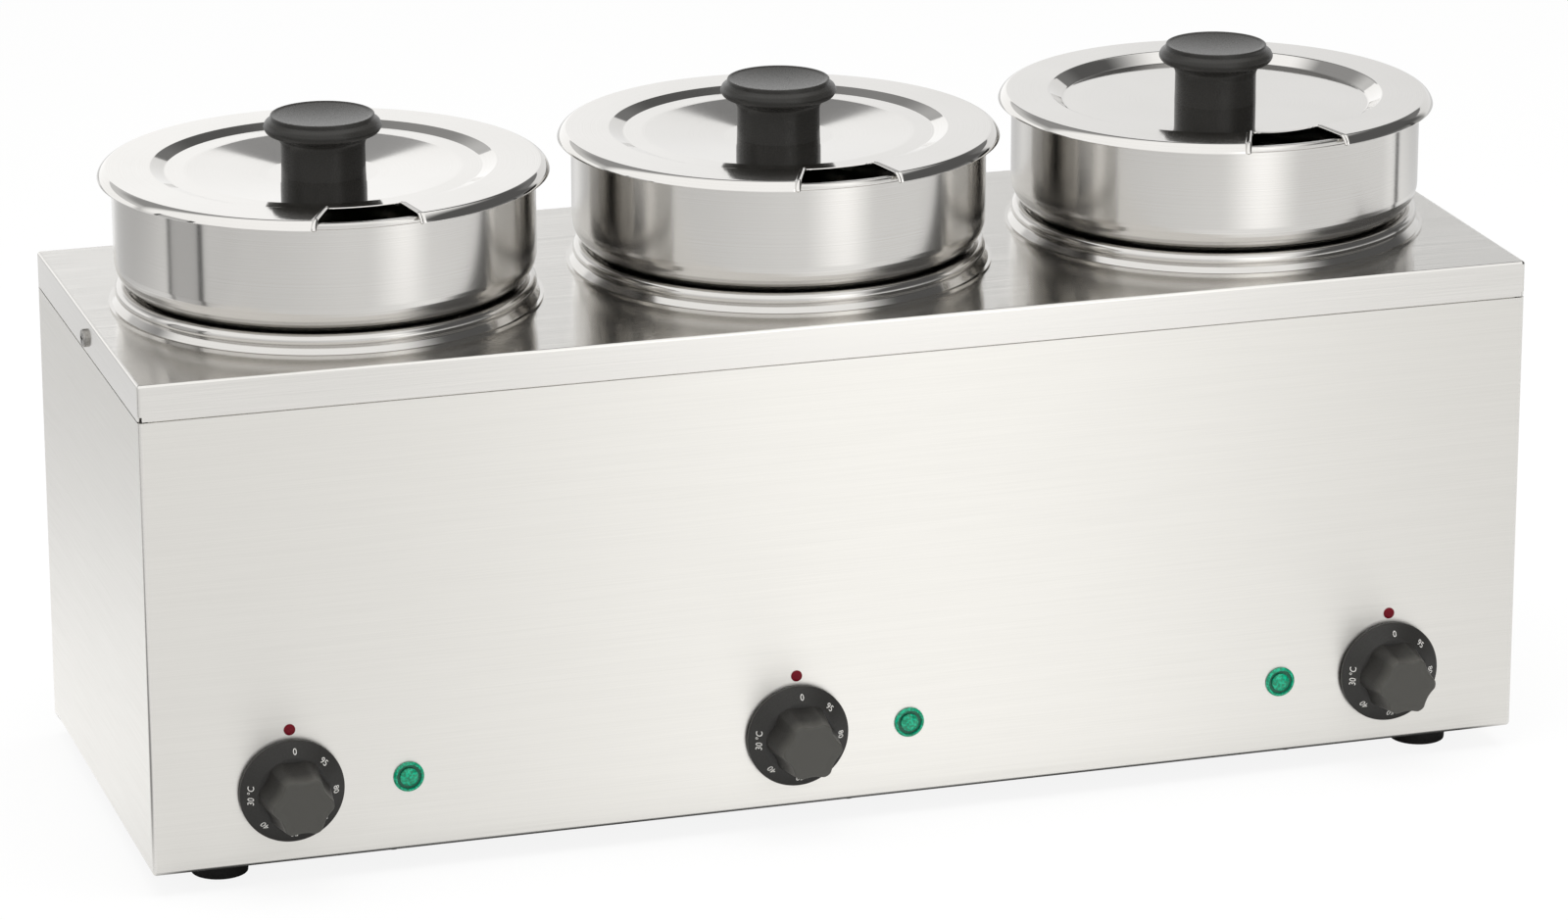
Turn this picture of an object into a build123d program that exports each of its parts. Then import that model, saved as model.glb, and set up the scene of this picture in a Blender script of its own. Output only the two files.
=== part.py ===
from build123d import *
import os
from math import asin, cos, degrees, radians, sin, sqrt

# Housing sheet metal
END_MARGIN = 10.8  # outer lids to the housing's ends
SIDE_MARGIN = 12.8  # lids to the housing's front and rear
CASE_HEIGHT = 262.0  # casing's lower edge to the cover's top
SHEET = 1.0
BEND = 2.0  # outer radius of the upright folds
COVER_EDGE = 1.5  # rounding along the cover's top edge
COVER_FLANGE = 19.0  # turned-down edge of the cover
COVER_FIT = 0.3  # flange to the casing's neck
SEAM_GAP = 0.6  # flange's lower edge to the casing's shoulder
CORNER_RELIEF = 2.5  # notch below each corner of the flange
BASE_LIP = 14.0  # casing folded in under the base plate
REAR_LIP = 14.0  # casing folded in behind the rear panel
PANEL_FIT = 0.5  # loose panels inside the casing
VENT_LENGTH = 60.0
VENT_WIDTH = 5.0
VENT_SPACING = 14.0
VENT_COUNT = 5  # slots under each well

# Feet
FOOT_HEIGHT = 12.0  # shown below the casing
FOOT_DIAMETER = 32.0
FOOT_TIP_DIAMETER = 29.5
FOOT_INSET_X = 41.3  # foot axis from the casing's side
FOOT_INSET_Y = 31.6  # foot axis from the casing's front or rear
FOOT_RECESS = 5.0  # depth of the screw's pocket

# Pots
POT_BODY_DIAMETER = 184.0  # the part that hangs in the well
SEAT_WIDTH = 18.0  # upper wall beyond the body
POT_RISE = 71.0  # rim above the cover
POT_DEPTH = 215.0
POT_WALL = 0.8
SHOULDER_RADIUS = 12.0
POT_NECK_RADIUS = 2.0
POT_BASE_RADIUS = 12.0
POT_RIM_WIDTH = 2.8  # rolled edge beyond the wall
POT_RIM_HEIGHT = 3.4
POT_RIM_ROUND = 1.2

# Wells
WELL_SHEET = 1.0
WELL_CLEARANCE = 1.8  # pot body to well wall
SEAT_HEIGHT = 9.0  # pot's seat above the cover
SEAT_EDGE_RADIUS = 2.0
CREST_RISE = 1.6  # rolled bead above the seat
BEAD_RADIUS = 3.4
BEAD_UNDERCUT = 60.0  # degrees that the bead turns under
RIM_GAP = 0.8  # pot's shoulder to the bead
RIM_FLANGE = 3.3  # foot beyond the bead
RIM_SOLE = 1.8  # flat part of the foot
WATER_DEPTH = 20.0  # under the pot
WELL_BASE_RADIUS = 10.0
COVER_HOLE_GAP = 5.0  # well wall to the cover's hole

# Lids
LID_OVERHANG = 7.2  # lid's edge beyond the pot's wall
LID_GAP = 12.6  # between neighbouring lids
LID_SHEET = 1.0
LID_LIP = 4.6  # height of the turned-down edge
LID_EDGE_RADIUS = 3.0
LID_CREST_DIAMETER = 179.4
LID_FLOOR_DIAMETER = 170.0
LID_RECESS = 5.4
LID_CREST_RADIUS = 1.5
NOTCH_REACH = 88.0  # lid axis to the notch's inner edge
NOTCH_INNER_WIDTH = 40.0
NOTCH_OUTER_WIDTH = 54.0
NOTCH_CORNER = 3.0
LID_TURN = {"left": 0.0, "middle": 3.5, "right": 3.5}  # degrees from facing the front

# Lid knobs
LID_KNOB_HEIGHT = 31.5
LID_KNOB_CAP = 61.5
LID_KNOB_TOP = 53.0
LID_KNOB_NECK = 44.0
LID_KNOB_BASE = 45.5
LID_KNOB_BASE_HEIGHT = 4.0  # flared foot of the neck
LID_KNOB_NECK_HEIGHT = 18.6  # where the neck meets the cap's underside
LID_KNOB_NECK_RADIUS = 6.0
LID_KNOB_CAP_HEIGHT = 25.0  # widest part of the cap
LID_KNOB_CAP_HALF = 1.6  # half the height of the cap's rounded edge
LID_KNOB_STEP_HEIGHT = 28.6  # ledge round the top disc
LID_KNOB_CROWN = 0.8  # rise of the top disc

# Controls on the front panel
CONTROL_HEIGHT = 40.0  # dial axes above the casing's lower edge
DIAL_INSET = 73.0  # outer dial axes from the housing's ends
LAMP_SPACING = 62.0  # lamp from its dial
INDEX_RISE = 32.3  # index stud above the dial axis
INDEX_DIAMETER = 6.0
INDEX_PROUD = 1.0
INDEX_SHANK = 3.0
INDEX_LENGTH = 5.0
LAMP_RING = 16.2
LAMP_RING_PROUD = 1.8
LAMP_RING_BEVEL = 0.9
LAMP_DOME = 11.6
LAMP_DOME_RISE = 1.6
LAMP_STEM = 9.8
LAMP_LENGTH = 26.0  # lamp body behind the panel
LAMP_NUT = 17.0
LAMP_NUT_THICK = 1.5

# Thermostat knobs
DIAL_DIAMETER = 55.0
DIAL_GAP = 0.8  # panel to the back of the dial
DIAL_EDGE = 2.5
DIAL_RISE = 7.0  # dial's front beside the grip
DIAL_CAVITY = 3.6
DIAL_WALL = 3.0
GRIP_BASE = 38.0
GRIP_FRONT = 32.0
GRIP_LENGTH = 29.0  # back of the dial to the front of the grip
GRIP_ROUND = 1.0
FLUTE_COUNT = 6
FLUTE_RADIUS = 15.0
FLUTE_DEPTH = 2.6
HUB_DIAMETER = 14.0

# Thermostats
BODY_WIDTH = 42.0
BODY_HEIGHT = 36.0
BODY_DEPTH = 28.0
BUSHING_DIAMETER = 9.0
BUSHING_PROUD = 2.0
SHAFT_DIAMETER = 6.0
SHAFT_FLAT = 1.4  # cut off one side of the shaft
SHAFT_FIT = 0.05
SHAFT_INSIDE = 12.0  # in the thermostat's body
SHAFT_OUTSIDE = 19.0  # in front of the panel
FIXING_SPACING = 28.0  # thermostat's two screws
TAB_WIDTH = 6.3
TAB_THICK = 0.8
TAB_LENGTH = 9.0
TAB_SPACING = 18.0
BULB_DIAMETER = 6.0
BULB_LENGTH = 80.0
BULB_RISE = 12.0  # above the underside of the well
BULB_FIT = 0.2
CAPILLARY_DIAMETER = 2.0
CAPILLARY_BEND = 8.0
CAPILLARY_LEAD = 14.0  # straight run at each end
BRACKET_WIDTH = 16.0
BRACKET_WALL = 1.6
BRACKET_HEIGHT = 14.0

# Heaters
HEAT_PLATE_DIAMETER = 150.0
HEAT_PLATE_THICK = 8.0
ELEMENT_DIAMETER = 8.0
ELEMENT_RING = 110.0
ELEMENT_OPEN = 40.0  # degrees left open at the front
ELEMENT_BEND = 8.0
ELEMENT_LEG = 16.0
ELEMENT_FIT = 0.1
CLAMP_WIDTH = 30.0
CLAMP_LENGTH = 140.0
CLAMP_THICK = 2.5
STUD_DIAMETER = 6.0
STUD_TAIL = 3.0  # stud below its nut

# Screws, nuts and holes
HOLE_FIT = 0.2
COVER_SCREW_DIAMETER = 4.8
COVER_SCREW_LENGTH = 9.0
COVER_SCREW_HEAD = 9.6
COVER_SCREW_HEAD_HEIGHT = 2.2
COVER_SCREW_DROP = 11.5  # below the cover's top
CASE_SCREW_DIAMETER = 3.9
CASE_SCREW_LENGTH = 8.0
CASE_SCREW_HEAD = 7.5
CASE_SCREW_HEAD_HEIGHT = 2.0
LIP_SCREW_EDGE = 4.5  # screw axis from the base lip's inner edge
PANEL_SCREW_MARGIN = 50.0  # rear screws from the casing's lower edge and from the flange
FIXING_SCREW_DIAMETER = 4.0
FIXING_SCREW_LENGTH = 7.0
FIXING_SCREW_HEAD = 7.6
FIXING_SCREW_HEAD_HEIGHT = 2.4
FOOT_SCREW_DIAMETER = 5.0
FOOT_SCREW_HEAD = 9.4
FOOT_SCREW_HEAD_HEIGHT = 3.4
FOOT_NUT_HEIGHT = 4.0
LID_SCREW_DIAMETER = 5.0
LID_SCREW_LENGTH = 15.0
LID_SCREW_HEAD = 9.4
LID_SCREW_HEAD_HEIGHT = 3.0
NUT_RATIO = 1.65  # hexagon across flats over thread
CROSS_WIDTH = 0.14  # cross recess over the head's diameter
CROSS_LENGTH = 0.56
CROSS_DEPTH = 0.45  # over the head's height

# Mains entry
GLAND_INSET = 75.0  # from the housing's end
GLAND_HEIGHT = 45.0  # above the casing's lower edge
GLAND_THREAD = 16.0
GLAND_BORE = 8.0
GLAND_HEX = 22.0
GLAND_HEX_LENGTH = 6.0
GLAND_DOME = 20.0
GLAND_DOME_LENGTH = 13.0
GLAND_TAIL = 10.0
GLAND_NUT_LENGTH = 5.0
GLAND_NUT_FIT = 0.05
BLOCK_WIDTH = 60.0
BLOCK_DEPTH = 22.0
BLOCK_HEIGHT = 20.0
BLOCK_GAP = 35.0  # rear panel to terminal block
BLOCK_OFFSET = 60.0  # from the gland towards the middle
BLOCK_FOOT = 3.0
BLOCK_SCREW_SPACING = 48.0

# Levels and faces that the pieces share
POT_DIAMETER = POT_BODY_DIAMETER + 2 * SEAT_WIDTH
LID_DIAMETER = POT_DIAMETER + 2 * LID_OVERHANG
STATION_PITCH = LID_DIAMETER + LID_GAP
CASE_WIDTH = 2 * STATION_PITCH + LID_DIAMETER + 2 * END_MARGIN
CASE_DEPTH = LID_DIAMETER + 2 * SIDE_MARGIN
NECK_WIDTH = CASE_WIDTH - 2 * (SHEET + COVER_FIT)  # the casing's upper edge, inside the flange
NECK_DEPTH = CASE_DEPTH - 2 * (SHEET + COVER_FIT)
CASING_Z = FOOT_HEIGHT
BASE_Z = CASING_Z + SHEET  # underside of the base plate
BASE_TOP = BASE_Z + SHEET
COVER_Z = CASING_Z + CASE_HEIGHT
NECK_Z = COVER_Z - COVER_FLANGE - SEAM_GAP  # the casing's shoulder
FRONT_Y = -CASE_DEPTH / 2
FRONT_INNER_Y = FRONT_Y + SHEET
REAR_PANEL_Y = CASE_DEPTH / 2 - SHEET  # outer face of the rear panel
CONTROL_Z = CASING_Z + CONTROL_HEIGHT
SEAT_Z = COVER_Z + SEAT_HEIGHT
POT_RIM_Z = COVER_Z + POT_RISE
LID_Z = POT_RIM_Z + LID_SHEET  # top of the lid's outer band
LID_FLOOR_Z = LID_Z - LID_RECESS
WELL_RADIUS = POT_BODY_DIAMETER / 2 + WELL_CLEARANCE
WELL_OUTER = WELL_RADIUS + WELL_SHEET
WELL_FLOOR_Z = POT_RIM_Z - POT_DEPTH - WATER_DEPTH
WELL_UNDER_Z = WELL_FLOOR_Z - WELL_SHEET
ELEMENT_Z = WELL_UNDER_Z - HEAT_PLATE_THICK
CLAMP_Z = ELEMENT_Z - ELEMENT_DIAMETER / 2 - ELEMENT_FIT - CLAMP_THICK
STUD_NUT_HEIGHT = STUD_DIAMETER * 0.8
BULB_Y = -(WELL_OUTER + BULB_FIT + BULB_DIAMETER / 2)
COVER_SCREW_Z = COVER_Z - COVER_SCREW_DROP
REAR_SCREW_X = CASE_WIDTH / 2 - REAR_LIP / 2
FOOT_X = CASE_WIDTH / 2 - FOOT_INSET_X
FOOT_Y = CASE_DEPTH / 2 - FOOT_INSET_Y
GLAND_X = CASE_WIDTH / 2 - GLAND_INSET
GLAND_Z = CASING_Z + GLAND_HEIGHT
BLOCK_X = GLAND_X - BLOCK_OFFSET
BLOCK_Y = REAR_PANEL_Y - SHEET - BLOCK_GAP - BLOCK_DEPTH / 2
PANEL_SCREW_LOW = CASING_Z + PANEL_SCREW_MARGIN
PANEL_SCREW_HIGH = NECK_Z - PANEL_SCREW_MARGIN
LIP_SCREW_Y = FRONT_Y + BASE_LIP - LIP_SCREW_EDGE
LIP_SCREW_X = CASE_WIDTH / 2 - BASE_LIP + LIP_SCREW_EDGE
DIAL_OFFSET = CASE_WIDTH / 2 - DIAL_INSET
LAMP_OFFSET = DIAL_OFFSET - LAMP_SPACING

# Each station: pot axis, dial axis and lamp axis along X
STATIONS = {
    "left": (-STATION_PITCH, -DIAL_OFFSET, -LAMP_OFFSET),
    "middle": (0.0, -LAMP_SPACING / 2, LAMP_SPACING / 2),
    "right": (STATION_PITCH, DIAL_OFFSET, LAMP_OFFSET),
}
POT_X = [pot_x for pot_x, dial_x, lamp_x in STATIONS.values()]
DIAL_X = [dial_x for pot_x, dial_x, lamp_x in STATIONS.values()]
LAMP_X = [lamp_x for pot_x, dial_x, lamp_x in STATIONS.values()]
FEET = [(sx * FOOT_X, sy * FOOT_Y) for sx in (-1, 1) for sy in (-1, 1)]
BASE_SCREWS = [(x, LIP_SCREW_Y) for x in POT_X]
BASE_SCREWS += [(side * LIP_SCREW_X, 0) for side in (-1, 1)]
PANEL_SCREWS = [(side * REAR_SCREW_X, z) for side in (-1, 1) for z in (PANEL_SCREW_LOW, PANEL_SCREW_HIGH)]
REAR_COVER_SCREWS = [(side * REAR_SCREW_X, COVER_SCREW_Z) for side in (-1, 1)]
FIXINGS = [(x + side * FIXING_SPACING / 2, CONTROL_Z) for x in DIAL_X for side in (-1, 1)]

os.makedirs("parts", exist_ok=True)


def keep(piece, name):
    """Label a finished piece and write it out."""
    piece.part.label = name
    export_step(piece.part, f"parts/{name}.step")


def upright(x):
    """Plane across the object through X = x, with local y up."""
    return Plane(origin=(x, 0, 0), x_dir=(1, 0, 0), z_dir=(0, -1, 0))


def turning(x):
    """Upright axis through X = x."""
    return Axis((x, 0, 0), (0, 0, 1))


def facing(y):
    """Plane at Y = y whose normal points to the front."""
    return Plane.XZ.offset(-y)


def rearward(y):
    """Plane at Y = y whose normal points to the rear, with local y up."""
    return Plane(origin=(0, y, 0), x_dir=(-1, 0, 0), z_dir=(0, 1, 0))


def dome_radius(half_width, rise):
    """Radius of a shallow dome with that half width and rise."""
    return (half_width**2 + rise**2) / (2 * rise)


def make_screws(planes, diameter, length, head, head_height):
    """Pan-head screws, one on each plane: the head stands on the plane and the shank goes below it."""
    with BuildPart() as screws:
        for plane in planes:
            with BuildSketch(plane):
                Circle(head / 2)
            pan = extrude(amount=head_height)
            front = pan.faces().sort_by(Axis(plane.origin, plane.z_dir))[-1]
            fillet(front.edges(), radius=head_height * CROSS_DEPTH)
            with BuildSketch(plane):
                Circle(diameter / 2)
            extrude(amount=-length)
            with BuildSketch(plane.offset(head_height)):
                Rectangle(head * CROSS_LENGTH, head * CROSS_WIDTH)
                Rectangle(head * CROSS_WIDTH, head * CROSS_LENGTH)
            extrude(amount=-head_height * CROSS_DEPTH, mode=Mode.SUBTRACT)
    return screws


def make_nuts(planes, thread, height, fit):
    """Hexagon nuts, one standing on each plane."""
    with BuildPart() as nuts:
        for plane in planes:
            with BuildSketch(plane):
                RegularPolygon(thread * NUT_RATIO / 2, 6, major_radius=False)
                Circle(thread / 2 + fit, mode=Mode.SUBTRACT)
            extrude(amount=height)
    return nuts


# Casing: folded in at the base and at the rear. The cover's flange closes over its neck, flush with its walls
with BuildPart() as casing:
    with BuildSketch(Plane.XY.offset(CASING_Z)):
        RectangleRounded(CASE_WIDTH, CASE_DEPTH, BEND)
        RectangleRounded(CASE_WIDTH - 2 * SHEET, CASE_DEPTH - 2 * SHEET, BEND - SHEET, mode=Mode.SUBTRACT)
        with Locations((0, CASE_DEPTH / 2)):
            Rectangle(CASE_WIDTH - 2 * REAR_LIP, 4 * SHEET, mode=Mode.SUBTRACT)
    extrude(amount=NECK_Z - CASING_Z)
    with BuildSketch(Plane.XY.offset(NECK_Z)):
        RectangleRounded(CASE_WIDTH, CASE_DEPTH, BEND)
        RectangleRounded(NECK_WIDTH - 2 * SHEET, NECK_DEPTH - 2 * SHEET, BEND - SHEET, mode=Mode.SUBTRACT)
    extrude(amount=-SHEET)
    with BuildSketch(Plane.XY.offset(NECK_Z)):
        RectangleRounded(NECK_WIDTH, NECK_DEPTH, BEND)
        RectangleRounded(NECK_WIDTH - 2 * SHEET, NECK_DEPTH - 2 * SHEET, BEND - SHEET, mode=Mode.SUBTRACT)
    extrude(amount=COVER_Z - SHEET - NECK_Z)
    with BuildSketch(Plane.XY.offset(NECK_Z)):
        with GridLocations(NECK_WIDTH, NECK_DEPTH, 2, 2):
            Rectangle(4 * BEND, 4 * BEND)
    extrude(amount=SEAM_GAP + CORNER_RELIEF, mode=Mode.SUBTRACT)
    with BuildSketch(Plane.XY.offset(CASING_Z)):
        RectangleRounded(CASE_WIDTH, CASE_DEPTH, BEND)
        with Locations((0, BASE_LIP)):
            Rectangle(CASE_WIDTH - 2 * BASE_LIP, CASE_DEPTH, mode=Mode.SUBTRACT)
        with Locations(*BASE_SCREWS):
            Circle(CASE_SCREW_DIAMETER / 2 + HOLE_FIT, mode=Mode.SUBTRACT)
    extrude(amount=SHEET)
    with BuildSketch(facing(FRONT_Y)):
        with Locations(*[(x, CONTROL_Z) for x in DIAL_X]):
            Circle(BUSHING_DIAMETER / 2 + HOLE_FIT)
        with Locations(*[(x, CONTROL_Z) for x in LAMP_X]):
            Circle(LAMP_STEM / 2 + HOLE_FIT)
        with Locations(*[(x, CONTROL_Z + INDEX_RISE) for x in DIAL_X]):
            Circle(INDEX_SHANK / 2 + HOLE_FIT)
        with Locations(*FIXINGS):
            Circle(FIXING_SCREW_DIAMETER / 2 + HOLE_FIT)
    extrude(amount=-2 * SHEET, mode=Mode.SUBTRACT)
    with BuildSketch(Plane.YZ):
        with Locations((0, COVER_SCREW_Z)):
            Circle(COVER_SCREW_DIAMETER / 2 + HOLE_FIT)
    extrude(amount=CASE_WIDTH, both=True, mode=Mode.SUBTRACT)
    with BuildSketch(facing(0)):
        with Locations(*REAR_COVER_SCREWS):
            Circle(COVER_SCREW_DIAMETER / 2 + HOLE_FIT)
        with Locations(*PANEL_SCREWS):
            Circle(CASE_SCREW_DIAMETER / 2 + HOLE_FIT)
    extrude(amount=-CASE_DEPTH, mode=Mode.SUBTRACT)
keep(casing, "casing")

# Top cover: closed over the casing's neck, with a hole for each well
with BuildPart() as top_cover:
    with BuildSketch(Plane.XY.offset(COVER_Z - COVER_FLANGE)):
        RectangleRounded(CASE_WIDTH, CASE_DEPTH, BEND)
    extrude(amount=COVER_FLANGE)
    fillet(top_cover.faces().sort_by(Axis.Z)[-1].edges(), radius=COVER_EDGE)
    with BuildSketch(Plane.XY.offset(COVER_Z - COVER_FLANGE)):
        RectangleRounded(CASE_WIDTH - 2 * SHEET, CASE_DEPTH - 2 * SHEET, BEND - SHEET)
    extrude(amount=COVER_FLANGE - SHEET, mode=Mode.SUBTRACT)
    with BuildSketch(Plane.XY.offset(COVER_Z - COVER_FLANGE)):
        with GridLocations(CASE_WIDTH, CASE_DEPTH, 2, 2):
            Rectangle(2 * BEND, 2 * BEND)
    extrude(amount=CORNER_RELIEF, mode=Mode.SUBTRACT)
    with BuildSketch(Plane.XY.offset(COVER_Z)):
        with Locations(*[(x, 0) for x in POT_X]):
            Circle(WELL_OUTER + COVER_HOLE_GAP)
    extrude(amount=-2 * SHEET, mode=Mode.SUBTRACT)
    with BuildSketch(Plane.YZ):
        with Locations((0, COVER_SCREW_Z)):
            Circle(COVER_SCREW_DIAMETER / 2 + HOLE_FIT)
    extrude(amount=CASE_WIDTH, both=True, mode=Mode.SUBTRACT)
    with BuildSketch(facing(0)):
        with Locations(*REAR_COVER_SCREWS):
            Circle(COVER_SCREW_DIAMETER / 2 + HOLE_FIT)
    extrude(amount=-CASE_DEPTH, mode=Mode.SUBTRACT)
keep(top_cover, "top_cover")

# Base plate: lies on the casing's lips, with vents under the wells
INSIDE_WIDTH = CASE_WIDTH - 2 * (SHEET + PANEL_FIT)
INSIDE_DEPTH = CASE_DEPTH - 2 * (SHEET + PANEL_FIT)
with BuildPart() as base_plate:
    with BuildSketch(Plane.XY.offset(BASE_Z)):
        Rectangle(INSIDE_WIDTH, INSIDE_DEPTH)
        with Locations(*[(x, 0) for x in POT_X]):
            with GridLocations(0, VENT_SPACING, 1, VENT_COUNT):
                SlotOverall(VENT_LENGTH, VENT_WIDTH, mode=Mode.SUBTRACT)
        with Locations(*BASE_SCREWS):
            Circle(CASE_SCREW_DIAMETER / 2 + HOLE_FIT, mode=Mode.SUBTRACT)
        with Locations(*FEET):
            Circle(FOOT_SCREW_DIAMETER / 2 + HOLE_FIT, mode=Mode.SUBTRACT)
    extrude(amount=SHEET)
keep(base_plate, "base_plate")

# Rear panel: stands on the base plate, inside the casing's rear lips and under its shoulder
REAR_PANEL_TOP = NECK_Z - SHEET - PANEL_FIT
with BuildPart() as rear_panel:
    with BuildSketch(rearward(REAR_PANEL_Y)):
        with Locations((0, (BASE_TOP + REAR_PANEL_TOP) / 2)):
            Rectangle(CASE_WIDTH - 2 * (BEND + PANEL_FIT), REAR_PANEL_TOP - BASE_TOP)
        with Locations((-GLAND_X, GLAND_Z)):
            Circle(GLAND_THREAD / 2 + HOLE_FIT, mode=Mode.SUBTRACT)
        with Locations(*PANEL_SCREWS):
            Circle(CASE_SCREW_DIAMETER / 2 + HOLE_FIT, mode=Mode.SUBTRACT)
    extrude(amount=-SHEET)
keep(rear_panel, "rear_panel")

# Feet: rubber, with a pocket for the screw's head
with BuildPart() as feet:
    for foot_x, foot_y in FEET:
        with BuildSketch(Plane((foot_x, foot_y, 0))):
            Circle(FOOT_TIP_DIAMETER / 2)
        with BuildSketch(Plane((foot_x, foot_y, BASE_Z))):
            Circle(FOOT_DIAMETER / 2)
        loft()
        with BuildSketch(Plane((foot_x, foot_y, 0))):
            Circle(FOOT_SCREW_HEAD / 2 + HOLE_FIT)
        extrude(amount=FOOT_RECESS, mode=Mode.SUBTRACT)
        with BuildSketch(Plane((foot_x, foot_y, 0))):
            Circle(FOOT_SCREW_DIAMETER / 2 + HOLE_FIT)
        extrude(amount=BASE_Z, mode=Mode.SUBTRACT)
keep(feet, "feet")

FOOT_SCREW_LENGTH = BASE_TOP + FOOT_NUT_HEIGHT + FOOT_SCREW_DIAMETER / 2 - FOOT_RECESS
under_feet = [Plane((x, y, FOOT_RECESS), z_dir=(0, 0, -1)) for x, y in FEET]
foot_screws = make_screws(
    under_feet, FOOT_SCREW_DIAMETER, FOOT_SCREW_LENGTH, FOOT_SCREW_HEAD, FOOT_SCREW_HEAD_HEIGHT
)
keep(foot_screws, "foot_screws")

above_feet = [Plane((x, y, BASE_TOP)) for x, y in FEET]
foot_nuts = make_nuts(above_feet, FOOT_SCREW_DIAMETER, FOOT_NUT_HEIGHT, HOLE_FIT)
keep(foot_nuts, "foot_nuts")

# Screws that hold the housing together
flange_sides = [Plane((side * CASE_WIDTH / 2, 0, COVER_SCREW_Z), z_dir=(side, 0, 0)) for side in (-1, 1)]
flange_rear = [Plane((x, CASE_DEPTH / 2, z), z_dir=(0, 1, 0)) for x, z in REAR_COVER_SCREWS]
cover_screws = make_screws(
    flange_sides + flange_rear,
    COVER_SCREW_DIAMETER,
    COVER_SCREW_LENGTH,
    COVER_SCREW_HEAD,
    COVER_SCREW_HEAD_HEIGHT,
)
keep(cover_screws, "cover_screws")

under_lips = [Plane((x, y, CASING_Z), z_dir=(0, 0, -1)) for x, y in BASE_SCREWS]
behind_lips = [Plane((x, CASE_DEPTH / 2, z), z_dir=(0, 1, 0)) for x, z in PANEL_SCREWS]
case_screws = make_screws(
    under_lips + behind_lips,
    CASE_SCREW_DIAMETER,
    CASE_SCREW_LENGTH,
    CASE_SCREW_HEAD,
    CASE_SCREW_HEAD_HEIGHT,
)
keep(case_screws, "case_screws")

# Wells: drawn from one sheet, with a rolled bead and a foot that stands on the cover
SHOULDER_R = POT_DIAMETER / 2 - SHOULDER_RADIUS
BEAD_R = SHOULDER_R + sqrt(
    (SHOULDER_RADIUS + BEAD_RADIUS + RIM_GAP) ** 2 - (SHOULDER_RADIUS + BEAD_RADIUS - CREST_RISE) ** 2
)
BEAD_Z = SEAT_Z + CREST_RISE - BEAD_RADIUS
FOOT_R = BEAD_R + BEAD_RADIUS + RIM_FLANGE
BEAD_SEAT_ANGLE = 180 - degrees(asin((SEAT_Z - BEAD_Z) / BEAD_RADIUS))
BEAD_LOW = (
    BEAD_R + BEAD_RADIUS * cos(radians(BEAD_UNDERCUT)),
    BEAD_Z - BEAD_RADIUS * sin(radians(BEAD_UNDERCUT)),
)
BEAD_SEAT = (BEAD_R + BEAD_RADIUS * cos(radians(BEAD_SEAT_ANGLE)), SEAT_Z)
STUD_LENGTH = WELL_UNDER_Z - CLAMP_Z + STUD_NUT_HEIGHT + STUD_TAIL


def make_well(x):
    """Well with its rim, and the stud that carries the heater."""
    with BuildPart() as well:
        with BuildSketch(upright(x)):
            with BuildLine():
                Polyline((FOOT_R, COVER_Z + WELL_SHEET), (FOOT_R - RIM_SOLE, COVER_Z + WELL_SHEET), BEAD_LOW)
                CenterArc((BEAD_R, BEAD_Z), BEAD_RADIUS, -BEAD_UNDERCUT, BEAD_UNDERCUT + BEAD_SEAT_ANGLE)
                FilletPolyline(
                    BEAD_SEAT,
                    (WELL_RADIUS, SEAT_Z),
                    (WELL_RADIUS, WELL_FLOOR_Z),
                    (0, WELL_FLOOR_Z),
                    radius=[SEAT_EDGE_RADIUS, WELL_BASE_RADIUS],
                )
                offset(amount=WELL_SHEET, side=Side.LEFT)
            make_face()
        revolve(axis=turning(x))
        with BuildSketch(Plane((x, 0, WELL_UNDER_Z))):
            Circle(STUD_DIAMETER / 2)
        extrude(amount=-STUD_LENGTH)
    return well


def make_pot(x):
    """Insert pot: its shoulder rests on the well's seat."""
    with BuildPart() as pot:
        with BuildSketch(upright(x)):
            with BuildLine():
                FilletPolyline(
                    (POT_DIAMETER / 2, POT_RIM_Z),
                    (POT_DIAMETER / 2, SEAT_Z),
                    (POT_BODY_DIAMETER / 2, SEAT_Z),
                    (POT_BODY_DIAMETER / 2, POT_RIM_Z - POT_DEPTH),
                    (0, POT_RIM_Z - POT_DEPTH),
                    radius=[SHOULDER_RADIUS, POT_NECK_RADIUS, POT_BASE_RADIUS],
                )
                offset(amount=POT_WALL, side=Side.RIGHT)
            make_face()
        revolve(axis=turning(x))
        rim_r = POT_DIAMETER / 2 - POT_WALL
        rim_outer = POT_DIAMETER / 2 + POT_RIM_WIDTH
        with BuildSketch(upright(x)):
            with BuildLine():
                FilletPolyline(
                    (rim_r, POT_RIM_Z),
                    (rim_outer, POT_RIM_Z),
                    (rim_outer, POT_RIM_Z - POT_RIM_HEIGHT),
                    (rim_r, POT_RIM_Z - POT_RIM_HEIGHT),
                    (rim_r, POT_RIM_Z),
                    radius=[POT_RIM_ROUND, POT_RIM_ROUND, 0, 0],
                )
            make_face()
        revolve(axis=turning(x))
    return pot


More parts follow.
